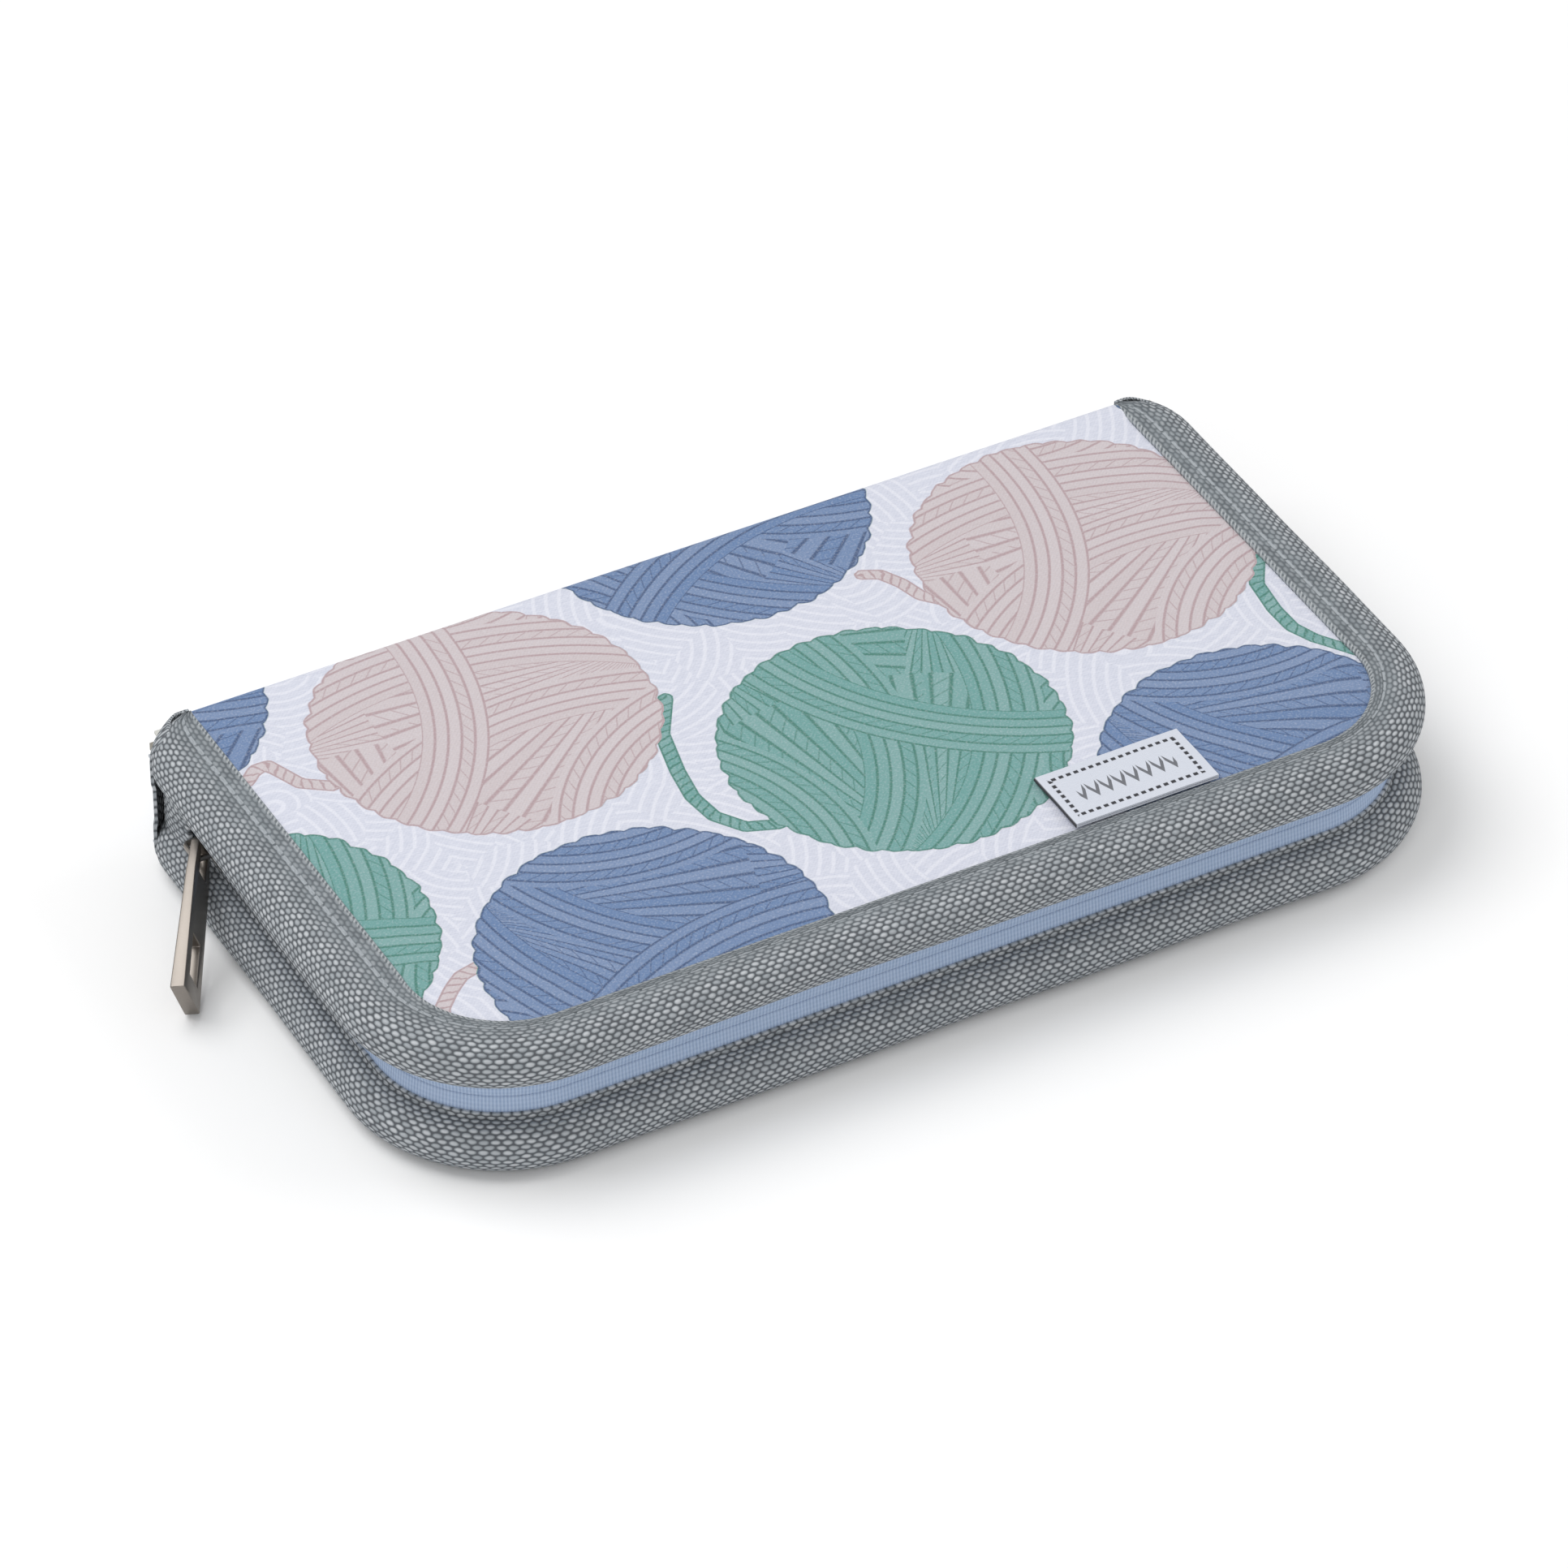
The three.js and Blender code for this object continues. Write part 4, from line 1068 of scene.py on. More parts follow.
    def metal(self, name: str, colour: Sequence[float], roughness: float) -> Material:
        """Builds a metal with fine rubbing marks."""
        lighter = tuple(min(1.0, part * 1.35) for part in colour[:3]) + (1.0,)

        def draw(graph: Graph) -> dict[str, Value]:
            """Draws the marks."""
            place = graph.own()
            marks = graph.noise(graph.vector("MULTIPLY", place, (0.7, 0.7, 5)), 1.5, 4, 0.7)
            tone = graph.mix(marks, colour, lighter)
            rough = graph.math("MULTIPLY_ADD", marks, 0.2, roughness - 0.1)
            return {"Base Color": tone, "Roughness": rough,
                    "Normal": graph.bump(marks, 0.12, 0.05)}

        return self.make(name, draw, Metallic=1.0)


def panel(name: str, half: Half, inset: float, back: float, low: float, thickness: float,
          spacing: float, wave: float = 0.0) -> Object:
    """Cuts a flat panel that follows the case's outline.

    Args:
        name: the new piece's name.
        half: the shell that it belongs to.
        inset: how far in from the outline it stops, in mm.
        back: where its back edge is, in mm.
        low: how far its outer face lies from the shell's outer face, in mm.
        thickness: its thickness in mm.
        spacing: the size of its faces in mm.
        wave: how far it waves towards the inside, in mm.

    Returns:
        The closed panel.
    """
    front = inset - CASE.half_depth
    rows, columns = int((back - front) / spacing), int(2 * (CASE.half_length - inset) / spacing)
    Bench.clear()
    bpy.ops.mesh.primitive_grid_add(x_subdivisions=columns, y_subdivisions=rows, size=1)
    piece = bpy.context.object
    piece.name = piece.data.name = name
    unit = Bench.places(piece) * MM + 0.5
    x = (unit[:, 0] * 2 - 1) * (CASE.half_length - inset)
    y = front + unit[:, 1] * (back - front)
    x = round_corners(x, y, inset)
    z = np.full(len(x), half.height(low))
    if wave:
        flat = np.stack([x, y, z], axis=1)
        z += half.up * wave * (wander(flat, 24, 3.1) + 1) / 2
    Bench.move_to(piece, np.stack([x, y, z], axis=1))
    if half is Half.BASE:
        Bench.flip(piece)
    Bench.apply(piece, "SOLIDIFY", thickness=thickness * MM, offset=-1)
    Bench.lay_uv(piece, Bench.places(piece)[:, :2])
    return Bench.finish(piece, 50)


def round_corners(x: np.ndarray, y: np.ndarray, inset: float) -> np.ndarray:
    """Draws a panel's rows in at the two front corners.

    Args:
        x, y: the points of the square panel in mm.
        inset: how far in from the outline the panel stops, in mm.

    Returns:
        The new x of each point.
    """
    centre, radius = CASE.centre, CASE.corner - inset
    rise = np.clip(centre.y - y, 0, radius * 0.9985)
    width = np.sqrt(radius ** 2 - rise ** 2) / radius
    beyond = np.maximum(np.abs(x) - centre.x, 0)
    return np.sign(x) * (np.minimum(np.abs(x), centre.x) + beyond * width)


@dataclass
class Shell:
    """One half of the case: printed cover, binding, zip tape, coil, padding, board, lining."""

    half: Half
    finishes: Finishes
    layout: PrintLayout
    roll: float = 5
    webbing: float = 1
    side_flange: float = 11.2
    front_flange: float = 9
    tooth_pitch: float = 1.5
    cover_inset: float = 7.5
    cover_thickness: float = 0.8
    edge_turn: float = 2.2
    seam_height: float = 4.2
    binding_back: float = 55.4
    end_bend: float = 46.6
    end_radius: float = 8.8
    tape_back: float = 50.8
    tape_inset: float = 6.0
    teeth_inset: float = 7.6
    teeth_height: float = 13.1
    teeth_back: float = 46
    spine_half_width: float = 94

    def build(self) -> None:
        """Builds every piece of the shell."""
        for piece, slot in ((self.binding(), "webbing"), (self.tape(), "tape"),
                            (self.teeth(), "tape")):
            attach(piece, self.half.value)
            log.info("built %s", piece.name)
        self.cover()
        self.layers()

    def binding(self) -> Object:
        """Sews the webbing binding: a flange on the cover, the roll and a lip at the zip."""
        roll, skin = self.roll, self.webbing
        outer = [(self.side_flange, 0.62), (self.side_flange - 0.04, 0.3),
                 (self.side_flange - 0.3, 0.06), (self.side_flange - 0.8, 0.0),
                 (self.side_flange - 1.3, 0.12), (self.side_flange - 2, 0.05),
                 (8.3, 0.08), (7.9, 0.3), (7.5, 0.34), (7.1, 0.12), (6.2, 0.0)]
        outer += [(roll - roll * math.sin(a), roll - roll * math.cos(a))
                  for a in np.linspace(0, math.pi, 27)]
        outer += [(roll, 2 * roll + 0.6), (roll + 0.05, 2 * roll + 1.1)]
        inner = [(roll + 0.35, 2 * roll + 1.2), (roll + 0.7, 2 * roll + 1.0)]
        inner += [(roll + 0.7 * (a > 3) - (roll - skin) * math.sin(a),
                   roll - (roll - skin) * math.cos(a))
                  for a in np.linspace(math.pi, 0, 15)]
        inner += [(7.5, skin), (9.6, skin), (self.side_flange - 0.2, skin - 0.05)]
        profile = [(inset, self.half.height(above)) for inset, above in outer + inner]
        piece = CASE.sweep(f"{self.half.value}_webbing", profile, self.binding_back,
                           56, 26, 104)
        points = Bench.places(piece)
        around, inset, inward = CASE.measure(points)
        above = (points[:, 2] - self.half.height(0)) * self.half.up
        line = np.array(outer)
        steps = np.hypot(*(line[1:] - line[:-1]).T)
        runs = np.concatenate([[0], np.cumsum(steps)])
        start, step = line[:-1], line[1:] - line[:-1]
        here = np.stack([inset, above], axis=1)[:, None, :]
        t = np.clip(((here - start) * step).sum(2) / (step ** 2).sum(1), 0, 1)
        gap = np.hypot(*np.moveaxis(here - start - t[..., None] * step, 2, 0))
        best = np.argmin(gap, axis=1)
        rows = np.arange(len(points))
        across = runs[best] + t[rows, best] * steps[best]
        Bench.lay_uv(piece, np.stack([around, across], axis=1))
        at_front = np.clip(inward[:, 1], 0, 1)
        narrow = (self.front_flange - 7) / (self.side_flange - 7)
        shift = np.where(inset > 7, (inset - 7) * (narrow - 1) * at_front, 0)
        puff = 0.22 * wander(points, 26, 1.7 + self.half.up) * ease(np.abs(inset - 6), 0.5, 3)
        puff = np.where(inset < 6, puff, 0)
        points = points + inward * (shift - puff)[:, None]
        past = np.clip(points[:, 1] - self.end_bend, 0, self.end_radius)
        draw_in = self.end_radius - np.sqrt(self.end_radius ** 2 - past ** 2)
        share = np.clip(1 - inset / self.side_flange, 0, 1)
        points[:, 0] -= np.sign(points[:, 0]) * draw_in * share
        if self.half is Half.LID:
            hang = ease(above, 2, 8)
            corner = np.exp(-(((around - 337) / 34) ** 2))
            middle = np.exp(-(((around - 222) / 50) ** 2))
            points[:, 2] += hang * (0.9 * middle - 1.3 * corner)
        Bench.move_to(piece, points)
        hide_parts(f"{self.half.value}_binding")
        Bench.dress(piece, self.finishes.webbing, "webbing")
        return Bench.finish(piece, 50)

    def tape(self) -> Object:
        """Weaves the half of the zip tape that stands between the roll and the parting line."""
        foot, top = 6.05, 14.22
        outer = [(self.tape_inset - 0.35 * math.sin((z - foot) / (top - foot) * math.pi), z)
                 for z in np.linspace(foot, top - 0.06, 10)]
        profile = outer + [(6.06, top), (6.7, top), (6.78, top - 0.1), (6.8, foot)]
        piece = CASE.sweep(f"{self.half.value}_tape",
                           [(inset, self.half.height(z)) for inset, z in profile],
                           self.tape_back, 40, 26, 80)
        points = Bench.places(piece)
        around, _, _ = CASE.measure(points)
        Bench.lay_uv(piece, np.stack([around, points[:, 2]], axis=1))
        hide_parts(f"{self.half.value}_zip_tape")
        Bench.dress(piece, self.finishes.tape, "tape")
        return Bench.finish(piece, 50)

    def teeth(self) -> Object:
        """Moulds the row of interlocking teeth on the inside of the tape."""
        name = f"{self.half.value}_teeth"
        piece = Bench.block(name, (0, -0.5, -0.9), (0.72, 0.5, 1.5), 0.22, 1)
        if self.half is Half.LID:
            piece.scale.z = -1
            Bench.finish(piece)
            Bench.close(piece, caps=False)
        path = CASE.path(self.teeth_inset, self.teeth_back)
        if self.half is Half.LID:
            path = path[1:]
        length = sum(math.dist(a, b) for a, b in zip(path, path[1:]))
        Bench.along(piece, path, self.half.height(self.teeth_height), self.tooth_pitch, length)
        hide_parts(f"{self.half.value}_zip_coil")
        return Bench.dress(piece, self.finishes.coil, "tape")

    def cover(self) -> Object:
        """Lays the printed cover over the shell and round the back edge onto the spine."""
        turn, inset = self.edge_turn, self.cover_inset
        front = inset - CASE.half_depth
        turn_start = CASE.half_depth - turn
        turn_end = turn_start + turn * math.pi / 2
        end = self.seam_height if self.half is Half.BASE else CASE.height - self.seam_height
        back = turn_end + end - turn
        Bench.clear()
        bpy.ops.mesh.primitive_grid_add(x_subdivisions=186, y_subdivisions=int(back - front),
                                        size=1)
        piece = bpy.context.object
        piece.name = piece.data.name = f"{self.half.value}_print"
        unit = Bench.places(piece) * MM + 0.5
        across = (unit[:, 0] * 2 - 1) * (CASE.half_length - inset)
        along = front + unit[:, 1] * (back - front)
        across = round_corners(across, along, inset)
        across = across * (1 - ease(along, 44, 51) * (
            1 - self.spine_half_width / (CASE.half_length - inset)))
        angle = np.clip((along - turn_start) / turn, 0, math.pi / 2)
        y = np.minimum(along, turn_start) + turn * np.sin(angle)
        above = turn * (1 - np.cos(angle)) + np.maximum(along - turn_end, 0)
        flat = np.stack([across, y, above], axis=1)
        _, depth, _ = CASE.measure(flat)
        rim = 1 - ease(depth, 9.4, 17)
        sink = 0.75 * rim + 0.14 * (wander(flat, 22, 7.3) + 0.6) * ease(depth, 9, 20)
        sink = sink * (1 - ease(along, 49, 54))
        above = above + sink
        z = self.half.height(0) + self.half.up * above
        Bench.move_to(piece, np.stack([across, y, z], axis=1))
        full_back = turn_end + CASE.height - self.seam_height - turn
        cloth_v = along if self.half is Half.LID else full_back + back - along
        self.layout.print_on(piece, np.stack([across, cloth_v], axis=1))
        if self.half is Half.BASE:
            Bench.flip(piece)
        Bench.apply(piece, "SOLIDIFY", thickness=self.cover_thickness * MM, offset=-1)
        Bench.finish(piece, 60)
        Bench.dress(piece, self.finishes.printed, "print")
        names = [f"{self.half.value}_cover"] + (["spine_cover"] if self.half is Half.LID else [])
        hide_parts(*names)
        edge = self.half.height(0) * MM
        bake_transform(piece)
        log.info("built %s", piece.name)
        return piece

    def layers(self) -> None:
        """Cuts the padding, the board and the lining."""
        half, done = self.half, self.finishes
        rows = (("padding", 3.8, 55.2, 1.7, 0.6, 4.0, 0.0, done.foam, "foam"),
                ("board", 2.1, 53.6, 2.6, 1.5, 8.0, 0.0, done.board, "board"),
                ("lining", 1.4, 52.8, 4.3, 0.5, 2.0, 0.1, done.lining, "lining"))
        for kind, inset, back, low, thickness, spacing, wave, finish, slot in rows:
            piece = panel(f"{half.value}_{kind}_panel", half, inset, back, low, thickness,
                          spacing, wave)
            Bench.dress(piece, finish, slot)
            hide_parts(f"{half.value}_{kind}")
            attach(piece, half.value)
            log.info("built %s", piece.name)


@dataclass
class Spine:
    """The back of the case between its two folds, with the webbing trims at its ends."""

    finishes: Finishes
    trim_start: float = 94.1
    trim_bend: float = 96
    trim_turn: float = 8.9
    reach: float = 50.5
    skin: float = 0.6
    window: Pair = (10.3, 18.2)

    def build(self) -> None:
        """Builds the spine's board, its lining and both trims."""
        board = Bench.block("spine_stiffener", (-93.8, 53.9, 3.2), (93.8, 55.4, 25.3), 0.4)
        Bench.dress(board, self.finishes.board, "board")
        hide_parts("spine_board")
        lining = Bench.block("spine_facing", (-93.8, 53.1, 5.6), (93.8, 53.6, 22.9), 0.2)
        Bench.dress(lining, self.finishes.lining, "lining")
        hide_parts("spine_lining")
        for piece in (board, lining, self.trim(Side.LEFT), self.trim(Side.RIGHT)):
            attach(piece, "spine")
            log.info("built %s", piece.name)

    def trim(self, side: Side) -> Object:
        """Folds the webbing trim round one end of the spine."""
        turn, back, skin = self.trim_turn, CASE.half_depth, self.skin
        middle = back - turn
        stop = math.asin((self.reach - middle) / turn)
        outer = [(self.trim_start, back - 0.1), (self.trim_start + 0.6, back)]
        outer += [(self.trim_bend + turn * math.cos(a), middle + turn * math.sin(a))
                  for a in np.linspace(math.pi / 2, stop, 15)]
        small = turn - skin
        inner = [(self.trim_bend + small * math.cos(a), middle + small * math.sin(a))
                 for a in np.linspace(stop, math.pi / 2, 9)]
        inner += [(self.trim_start, back - skin)]
        profile = [(side.value * x, y, 0.1) for x, y in outer + inner]
        piece = Bench.lofted(f"spine_binding_{side.name.lower()}", profile, 57,
                             (0, 0, CASE.height - 0.2))
        points = Bench.places(piece)
        x, y, z = np.abs(points[:, 0]), points[:, 1], points[:, 2]
        angle = np.arctan2(y - middle, np.maximum(x - self.trim_bend, 0))
        across = np.minimum(x, self.trim_bend) + turn * (math.pi / 2 - angle)
        Bench.lay_uv(piece, np.stack([z, across], axis=1))
        low, high = self.window
        between = ease(z, low - 1.2, low + 0.3) * (1 - ease(z, high - 0.3, high + 1.2))
        from_end = np.clip(CASE.height / 2 - np.abs(z - CASE.height / 2), 0, 5)
        rounded = 5 - np.sqrt(25 - (5 - from_end) ** 2)
        outwards = np.clip((x - self.trim_bend) / small, 0, 1)
        points[:, 0] -= side.value * outwards * (0.3 * between + rounded)
        points[:, 1] -= 0.3 * ease(np.abs(z - CASE.height / 2), 11, 14.2)
        Bench.move_to(piece, points)
        Bench.dress(piece, self.finishes.webbing, "webbing")
        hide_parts(f"spine_trim_{side.name.lower()}")
        return Bench.finish(piece, 60)


@dataclass
class Gussets:
    """The webbing leaves that close the ends beside the spine, one on each half."""

    finishes: Finishes
    outside: float = 102.1
    thickness: float = 1
    front: float = 40.8
    back: float = 50.8
    reach: Pair = (9.6, 14.1)
    bulge: float = 0.5

    def build(self) -> None:
        """Builds the four leaves."""
        for side in Side:
            for half, word in ((Half.BASE, "lower"), (Half.LID, "upper")):
                self.leaf(side, half, f"gusset_{word}_{side.name.lower()}")

    def leaf(self, side: Side, half: Half, node: str) -> Object:
        """Shapes one leaf, which bulges a little."""
        low, high = sorted(half.height(edge) for edge in self.reach)
        x = sorted((side.value * self.outside, side.value * (self.outside - self.thickness)))
        piece = Bench.block(node + "_leaf", (x[0], self.front, low), (x[1], self.back, high), 0.3)
        Bench.everything(piece, "FACE")
        bpy.ops.mesh.subdivide(number_cuts=6)
        Bench.leave()
        points = Bench.places(piece)
        share = (points[:, 1] - self.front) / (self.back - self.front)
        points[:, 0] += side.value * self.bulge * np.sin(np.clip(share, 0, 1) * math.pi)
        Bench.lay_uv(piece, points[:, 1:3])
        Bench.move_to(piece, points)
        Bench.dress(piece, self.finishes.webbing, "webbing")
        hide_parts(node)
        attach(piece, half.value)
        log.info("built %s", piece.name)
        return Bench.finish(piece, 50)


@dataclass
class Fastener:
    """The slider, its bail, the pull tab and the stop at the zip's end."""

    finishes: Finishes

    def build(self) -> None:
        """Rounds off each metal piece and dresses it."""
        rows = (("slider_body", "slider_casting", 0.16, "slider", "nickel"),
                ("slider_bail", "bail_loop", 0.22, "slider", "nickel"),
                ("pull_tab", "pull_plate", 0.3, "pull", "nickel"),
                ("zip_end_stop", "end_crimp", 0.18, "base", "nickel"))
        for node, name, edge, body, slot in rows:
            piece = Bench.from_node(name, node, edge)
            Bench.dress(piece, self.finishes.nickel, slot)
            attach(piece, body)
            log.info("built %s", piece.name)


@dataclass
class Label:
    """The folded satin label that lies on the lid."""

    finishes: Finishes
    place: Pair = (40.2, -40.25)
    width: float = 28.8
    length: float = 14.5
    low: float = 28.62

    def build(self) -> None:
        """Folds the label from two layers joined along its left edge."""
        low = self.low
        left, right = self.place[0] - self.width / 2, self.place[0] + self.width / 2
        fold = [(left + 0.4 - 0.4 * math.sin(a), low + 0.42 - 0.42 * math.cos(a))
                for a in np.linspace(0, math.pi, 9)]
        outer = [(x, low) for x in np.linspace(right, left + 0.4, 24)] + fold[1:-1]
        outer += [(x, low + 0.84) for x in np.linspace(left + 0.4, right, 24)]
        inner = [(right, low + 0.5), (left + 0.7, low + 0.46), (left + 0.7, low + 0.38),
                 (right, low + 0.34)]
        front = self.place[1] - self.length / 2
        profile = [(x, front, z) for x, z in outer + inner]
        piece = Bench.lofted("satin_label", profile, 24, (0, self.length, 0))
        points = Bench.places(piece)
        local = points[:, :2] - np.array(self.place)
        Bench.lay_uv(piece, local)
        lift = 0.12 * np.sin(local[:, 0] / self.width * math.tau) + 0.08 * np.cos(local[:, 1] * 0.4)
        points[:, 2] += np.maximum(lift, 0)
        Bench.move_to(piece, points)
        Bench.dress(piece, self.finishes.label, "label")
        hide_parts("woven_label")
        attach(piece, "lid")
        Bench.finish(piece, 50)
        log.info("built %s", piece.name)


@dataclass
class NeedleTips:
    """The ten screw-on tips in five sizes, two of each."""

    finishes: Finishes
    sizes: tuple[int, ...] = (8, 7, 6, 5, 4)
    point: float = 18
    tip_radius: float = 0.75
    bore_depth: float = 7
    wall: float = 0.9
    sides: int = 32

    def build(self) -> None:
        """Turns every shaft and ferrule."""
        for size in self.sizes:
            for mate in "ab":
                self.tip(f"{size}mm_{mate}")

    def tip(self, tag: str) -> None:
        """Turns one tip.

        Args:
            tag: its size and letter, as its nodes and body have them.
        """
        low, high = (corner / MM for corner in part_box(f"tip_shaft_{tag}"))
        radius, length = (high.y - low.y) / 2, high.x - low.x
        start = Vector((low.x, (low.y + high.y) / 2, (low.z + high.z) / 2))
        slope = [(length - self.point * (1 - s), radius + (self.tip_radius - radius) * s ** 1.25)
                 for s in np.linspace(0.04, 0.96, 14)]
        end = [(length - 0.72 * (1 - math.sin(a)), self.tip_radius * math.cos(a))
               for a in np.linspace(0.15, math.pi / 2, 6)]
        profile = [(0, 0), (0, radius - 0.2), (0.2, radius)]
        profile += [(x, radius) for x in np.linspace(6, length - self.point, 12)] + slope + end
        shaft = Bench.turned(f"shaft_{tag}", profile, start, self.sides)
        Bench.dress(shaft, self.finishes.wood, "wood")
        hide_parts(f"tip_shaft_{tag}")
        low, high = (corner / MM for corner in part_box(f"tip_ferrule_{tag}"))
        bore, reach = radius - self.wall, high.x - low.x
        profile = [(self.bore_depth, 0), (self.bore_depth, bore), (0.25, bore),
                   (0, bore + 0.2), (0, radius - 0.25), (0.25, radius)]
        for groove in (3.0, 4.2, reach - 1.6):
            profile += [(groove, radius), (groove + 0.12, radius - 0.16),
                        (groove + 0.38, radius - 0.16), (groove + 0.5, radius)]
        profile += [(reach - 0.2, radius), (reach, radius - 0.2), (reach, 0)]
        ferrule = Bench.turned(f"ferrule_{tag}", profile, Vector((low.x, start.y, start.z)),
                               self.sides)
        Bench.dress(ferrule, self.finishes.brass, "brass")
        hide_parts(f"tip_ferrule_{tag}")
        for piece in (shaft, ferrule):
            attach(piece, f"tip_{tag}")
        log.info("built tip %s", tag)


@dataclass
class NeedleChannels:
    """The cotton channels sewn to the base's lining, one for each tip."""

    finishes: Finishes
    tips: NeedleTips
    start: float = -83.16
    length: float = 92
    front: float = -46.5
    back: float = 50.5
    floor: float = 5.2
    fabric: float = 0.5
    ease_round: float = 0.35

    def build(self) -> None:
        """Sews the channels and their rows of stitches."""
        outer: list[Pair] = [(self.front, self.floor + self.fabric)]
        inner: list[Pair] = [(self.front, self.floor)]
        seams = [self.front + 0.9]
        before = None
        for size in self.tips.sizes:
            for mate in "ab":
                low, high = (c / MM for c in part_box(f"tip_shaft_{size}mm_{mate}"))
                middle, radius = (low.y + high.y) / 2, (high.y - low.y) / 2
                for line, reach, foot in ((outer, radius + self.ease_round + self.fabric,
                                           self.floor + self.fabric),
                                          (inner, radius + self.ease_round, self.floor)):
                    line.append((middle - reach, foot))
                    line += [(middle - reach * math.cos(a),
                              self.floor + radius + reach * math.sin(a))
                             for a in np.linspace(0, math.pi, 19)]
                    line.append((middle + reach, foot))
                edge = middle - radius - self.ease_round - self.fabric
                if before is not None:
                    seams.append((before + edge) / 2)
                before = middle + radius + self.ease_round + self.fabric
        outer.append((self.back, self.floor + self.fabric))
        inner.append((self.back, self.floor))
        seams.append(self.back - 0.7)
        profile = [(self.start, y, z) for y, z in outer + inner[::-1]]
        piece = Bench.lofted("channel_cotton", profile, 46, (self.length, 0, 0))
        points = Bench.places(piece)
        high_up = ease(points[:, 2], self.floor + 1.5, self.floor + 5)
        points[:, 2] -= 0.18 * high_up * (wander(points, 9, 4.4) + 1) / 2
        Bench.move_to(piece, points)
        Bench.lay_uv(piece, points[:, :2])
        Bench.dress(piece, self.finishes.pocket, "lining")
        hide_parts("needle_channels")
        Bench.finish(piece, 50)
        stitches = [self.stitch_row(place, index) for index, place in enumerate(seams)]
        for made in (piece, *stitches):
            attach(made, "base")
        log.info("built %s with %d rows of stitches", piece.name, len(stitches))

    def stitch_row(self, place: float, index: int) -> Object:
        """Sews one straight row of stitches at this y, in mm."""
        row = Bench.block(f"channel_stitches_{index}", (0, -0.2, -0.12), (2.1, 0.2, 0.16), 0.11, 1)
        path = [(self.start + 1, place), (self.start + self.length - 1, place)]
        Bench.along(row, path, self.floor + self.fabric + 0.1, 2.9, self.length - 2)
        return Bench.dress(row, self.finishes.thread, "lining")


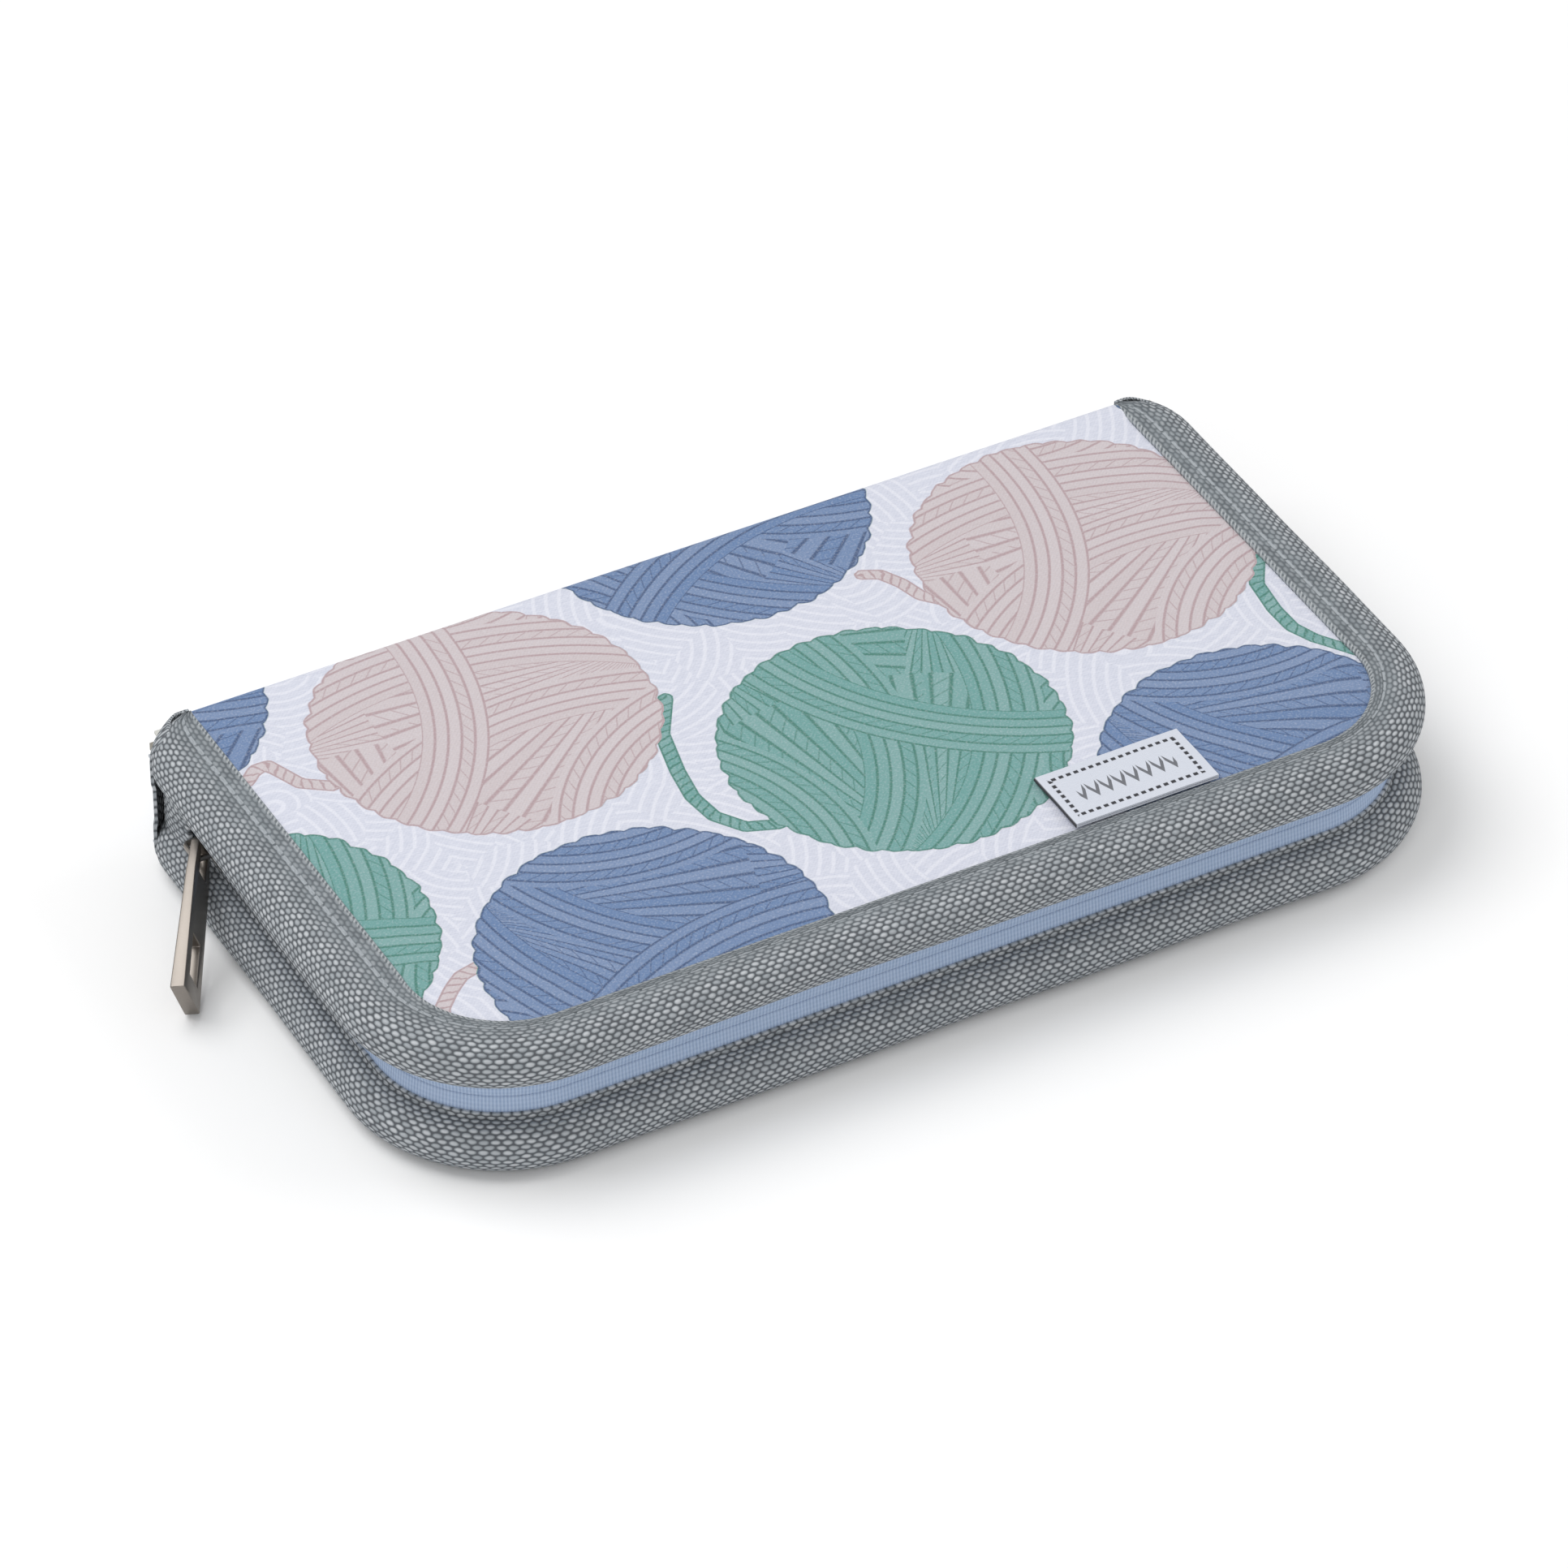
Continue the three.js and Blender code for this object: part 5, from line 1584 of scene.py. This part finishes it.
@dataclass
class CablePocket:
    """The pocket in the lid with two coiled cables, the tightening key and two stoppers."""

    finishes: Finishes
    half_width: float = 87.66
    front: float = -44
    mouth: float = 30
    low: float = 14.35
    high: float = 23.3
    fabric: float = 0.6
    ring: float = 28
    section: float = 2.4
    cable: float = 1.7
    middle: float = -8.6
    offset: float = 17
    shelf: float = 15.25
    coil_place: float = 33.6
    lead_in: float = 6.4
    lead_rise: float = 1.9
    turn_steps: int = 48
    lead_steps: int = 14

    def build(self) -> None:
        """Builds the pocket and everything in it."""
        self.bag()
        for name, side, turns in (("cable_long", -1, 4), ("cable_short", 1, 3)):
            self.coil(name, side * self.coil_place, turns)
        for node in ("cable_long_end_a", "cable_long_end_b", "cable_short_end_a",
                     "cable_short_end_b"):
            piece = Bench.from_node(node.replace("end", "thread"), node, 0.12)
            Bench.dress(piece, self.finishes.brass, "brass")
            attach(piece, "lid")
        for node, name, finish, slot in (
                ("tightening_key", "key_pin", self.finishes.nickel, "nickel"),
                ("end_stopper_a", "stopper_a", self.finishes.plastic, "plastic"),
                ("end_stopper_b", "stopper_b", self.finishes.plastic, "plastic")):
            piece = Bench.from_node(name, node, 0.2)
            Bench.dress(piece, finish, slot)
            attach(piece, "lid")
            log.info("built %s", name)

    def bag(self) -> Object:
        """Sews the pocket, a shallow box of cotton with its mouth towards the spine."""
        turn = 3.0
        corners = [(math.pi, -1), (1.5 * math.pi, 1)]
        line = [(-self.half_width, z) for z in np.linspace(self.high, self.low + turn, 6)]
        for start, side in corners:
            line += [(side * (self.half_width - turn) + turn * math.cos(a),
                      self.low + turn + turn * math.sin(a))
                     for a in np.linspace(start, start + math.pi / 2, 7)]
            if side < 0:
                line += [(x, self.low) for x in np.linspace(-82, 82, 60)]
        line += [(self.half_width, z) for z in np.linspace(self.low + turn, self.high, 6)]
        piece = Bench.wire("pocket_cotton", [(x, self.mouth, z) for x, z in line], closed=False)
        bpy.ops.object.mode_set(mode="EDIT")
        Bench.run(32, (0, self.front - self.mouth, 0))
        bpy.ops.mesh.edge_face_add()
        Bench.close(piece, caps=False)
        points = Bench.places(piece)
        inner = ease(np.abs(points[:, 0]), 86, 80) * ease(points[:, 1], self.front, -38)
        gathers = 0.25 * (1 + np.sin(points[:, 0] * 1.1)) * ease(points[:, 1], 16, 29)
        bottom = points[:, 2] < self.low + 1
        waves = inner * 0.3 * (wander(points, 18, 9.2) + 1) / 2
        points[:, 2] += np.where(bottom, waves + gathers, 0)
        Bench.move_to(piece, points)
        Bench.apply(piece, "SOLIDIFY", thickness=self.fabric * MM, offset=-1)
        Bench.lay_uv(piece, Bench.places(piece)[:, :2])
        Bench.dress(piece, self.finishes.pocket, "lining")
        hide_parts("cable_pocket")
        Bench.finish(piece, 50)
        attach(piece, "lid")
        log.info("built %s", piece.name)
        return piece

    def coil(self, name: str, place: float, turns: int) -> Object:
        """Winds one cable into a neat coil whose ends run into its two connectors.

        Args:
            name: the CAD node that it stands for.
            place: the coil's middle in x, in mm.
            turns: how many whole turns it has.

        Returns:
            The cable.
        """
        bundle = self.section - self.cable / 2
        level = self.shelf + self.section
        first, last = math.radians(225), math.radians(225 + 270)
        inner = self.ring + bundle * math.cos(first)
        end_level = self.shelf + self.lead_rise
        lead_start = place - inner + self.offset

        def lead(side: int, phi: float) -> list[tuple[float, float, float]]:
            """Bends a lead from its connector into the coil, on one side of the middle."""
            top = level + bundle * math.sin(phi)
            bend = [(place - self.lead_in, self.middle + side * self.offset, end_level)]
            for share in np.linspace(0, 1, self.lead_steps)[:-1]:
                a = math.pi / 2 + share * math.pi / 2
                bend.append((lead_start + self.offset * math.cos(a),
                             self.middle + side * self.offset * math.sin(a),
                             end_level + (top - end_level) * share * share * (3 - 2 * share)))
            return bend

        points = lead(1, first)
        steps = turns * self.turn_steps
        for step in range(steps + 1):
            share = step / steps
            a = math.pi + share * turns * math.tau
            phi = first + (last - first) * share
            reach = self.ring + bundle * math.cos(phi)
            points.append((place + reach * math.cos(a), self.middle + reach * math.sin(a),
                           level + bundle * math.sin(phi)))
        points += lead(-1, last)[::-1]
        curve = bpy.data.curves.new(name + "_core", "CURVE")
        curve.dimensions = "3D"
        curve.bevel_depth = self.cable / 2 * MM
        curve.bevel_resolution = 3
        curve.use_fill_caps = True
        spline = curve.splines.new("POLY")
        spline.points.add(len(points) - 1)
        for point, (x, y, z) in zip(spline.points, points):
            point.co = (x * MM, y * MM, z * MM, 1)
        piece = bpy.data.objects.new(name + "_coiled", curve)
        bpy.context.scene.collection.objects.link(piece)
        Bench.pick(piece)
        bpy.ops.object.convert(target="MESH")
        piece = bpy.context.object
        Bench.close(piece, caps=False)
        Bench.dress(piece, self.finishes.cable, "cable")
        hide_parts(name)
        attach(piece, "lid")
        log.info("wound %s: %.0f mm", name,
                 sum(math.dist(a, b) for a, b in zip(points, points[1:])))
        return Bench.finish(piece)


@dataclass
class Studio:
    """The camera, the pale floor and the soft lights."""

    camera_place: tuple[float, float, float] = (-0.6028, -1.0918, 1.0278)
    target: tuple[float, float, float] = (-0.004435, 0.002032, 0.015)
    lens: float = 209.46

    def build(self) -> None:
        """Sets up the camera first, then the floor and the lights."""
        camera = bpy.data.objects.new("camera", bpy.data.cameras.new("camera"))
        camera.data.lens, camera.data.sensor_width = self.lens, 36
        camera.location = self.camera_place
        aim = Vector(self.target) - Vector(self.camera_place)
        camera.rotation_euler = aim.to_track_quat("-Z", "Y").to_euler()
        bpy.context.scene.collection.objects.link(camera)
        bpy.context.scene.camera = camera
        bpy.context.scene.view_settings.view_transform = "Standard"
        Bench.clear()
        bpy.ops.mesh.primitive_grid_add(x_subdivisions=8, y_subdivisions=8, size=8,
                                        location=(0, 0, -0.0002))
        floor = bpy.context.object
        floor.name = "floor"
        floor.data.materials.append(self.floor_finish())
        self.light("key", (-0.5, 0.5, 1.3), 1.1, 12)
        self.light("fill", (-0.9, -1.1, 0.9), 1.0, 5)
        self.light("side", (1.2, -0.3, 0.9), 0.9, 4.2)
        world = bpy.data.worlds.new("soft room")
        bpy.context.scene.world = world
        world.use_nodes = True
        world.node_tree.nodes["Background"].inputs[0].default_value = (1, 1, 1, 1)
        world.node_tree.nodes["Background"].inputs[1].default_value = 0.5

    def floor_finish(self) -> Material:
        """Makes the floor's plain pale finish."""
        material = bpy.data.materials.new("Pale floor")
        material.use_nodes = True
        shader = material.node_tree.nodes["Principled BSDF"]
        shader.inputs["Base Color"].default_value = (0.98, 0.98, 0.98, 1)
        shader.inputs["Roughness"].default_value = 0.9
        return material

    def light(self, name: str, place: Sequence[float], size: float, power: float) -> None:
        """Hangs one soft light that faces the case.

        Args:
            name: its name.
            place: where it hangs, in metres.
            size: the width of its square, in metres.
            power: its power in watts.
        """
        data = bpy.data.lights.new(name, "AREA")
        data.size, data.energy = size, power
        lamp = bpy.data.objects.new(name, data)
        lamp.location = place
        lamp.rotation_euler = (-Vector(place)).to_track_quat("-Z", "Y").to_euler()
        bpy.context.scene.collection.objects.link(lamp)


def main() -> None:
    """Builds the studio and then the case, sub-assembly by sub-assembly."""
    logging.basicConfig(level=logging.INFO, format="%(name)s: %(message)s")
    Studio().build()
    finishes, layout = Finishes(), PrintLayout()
    for half in Half:
        Shell(half, finishes, layout).build()
    Spine(finishes).build()
    Gussets(finishes).build()
    Fastener(finishes).build()
    Label(finishes).build()
    tips = NeedleTips(finishes)
    tips.build()
    NeedleChannels(finishes, tips).build()
    CablePocket(finishes).build()


if __name__ == "__main__":
    main()
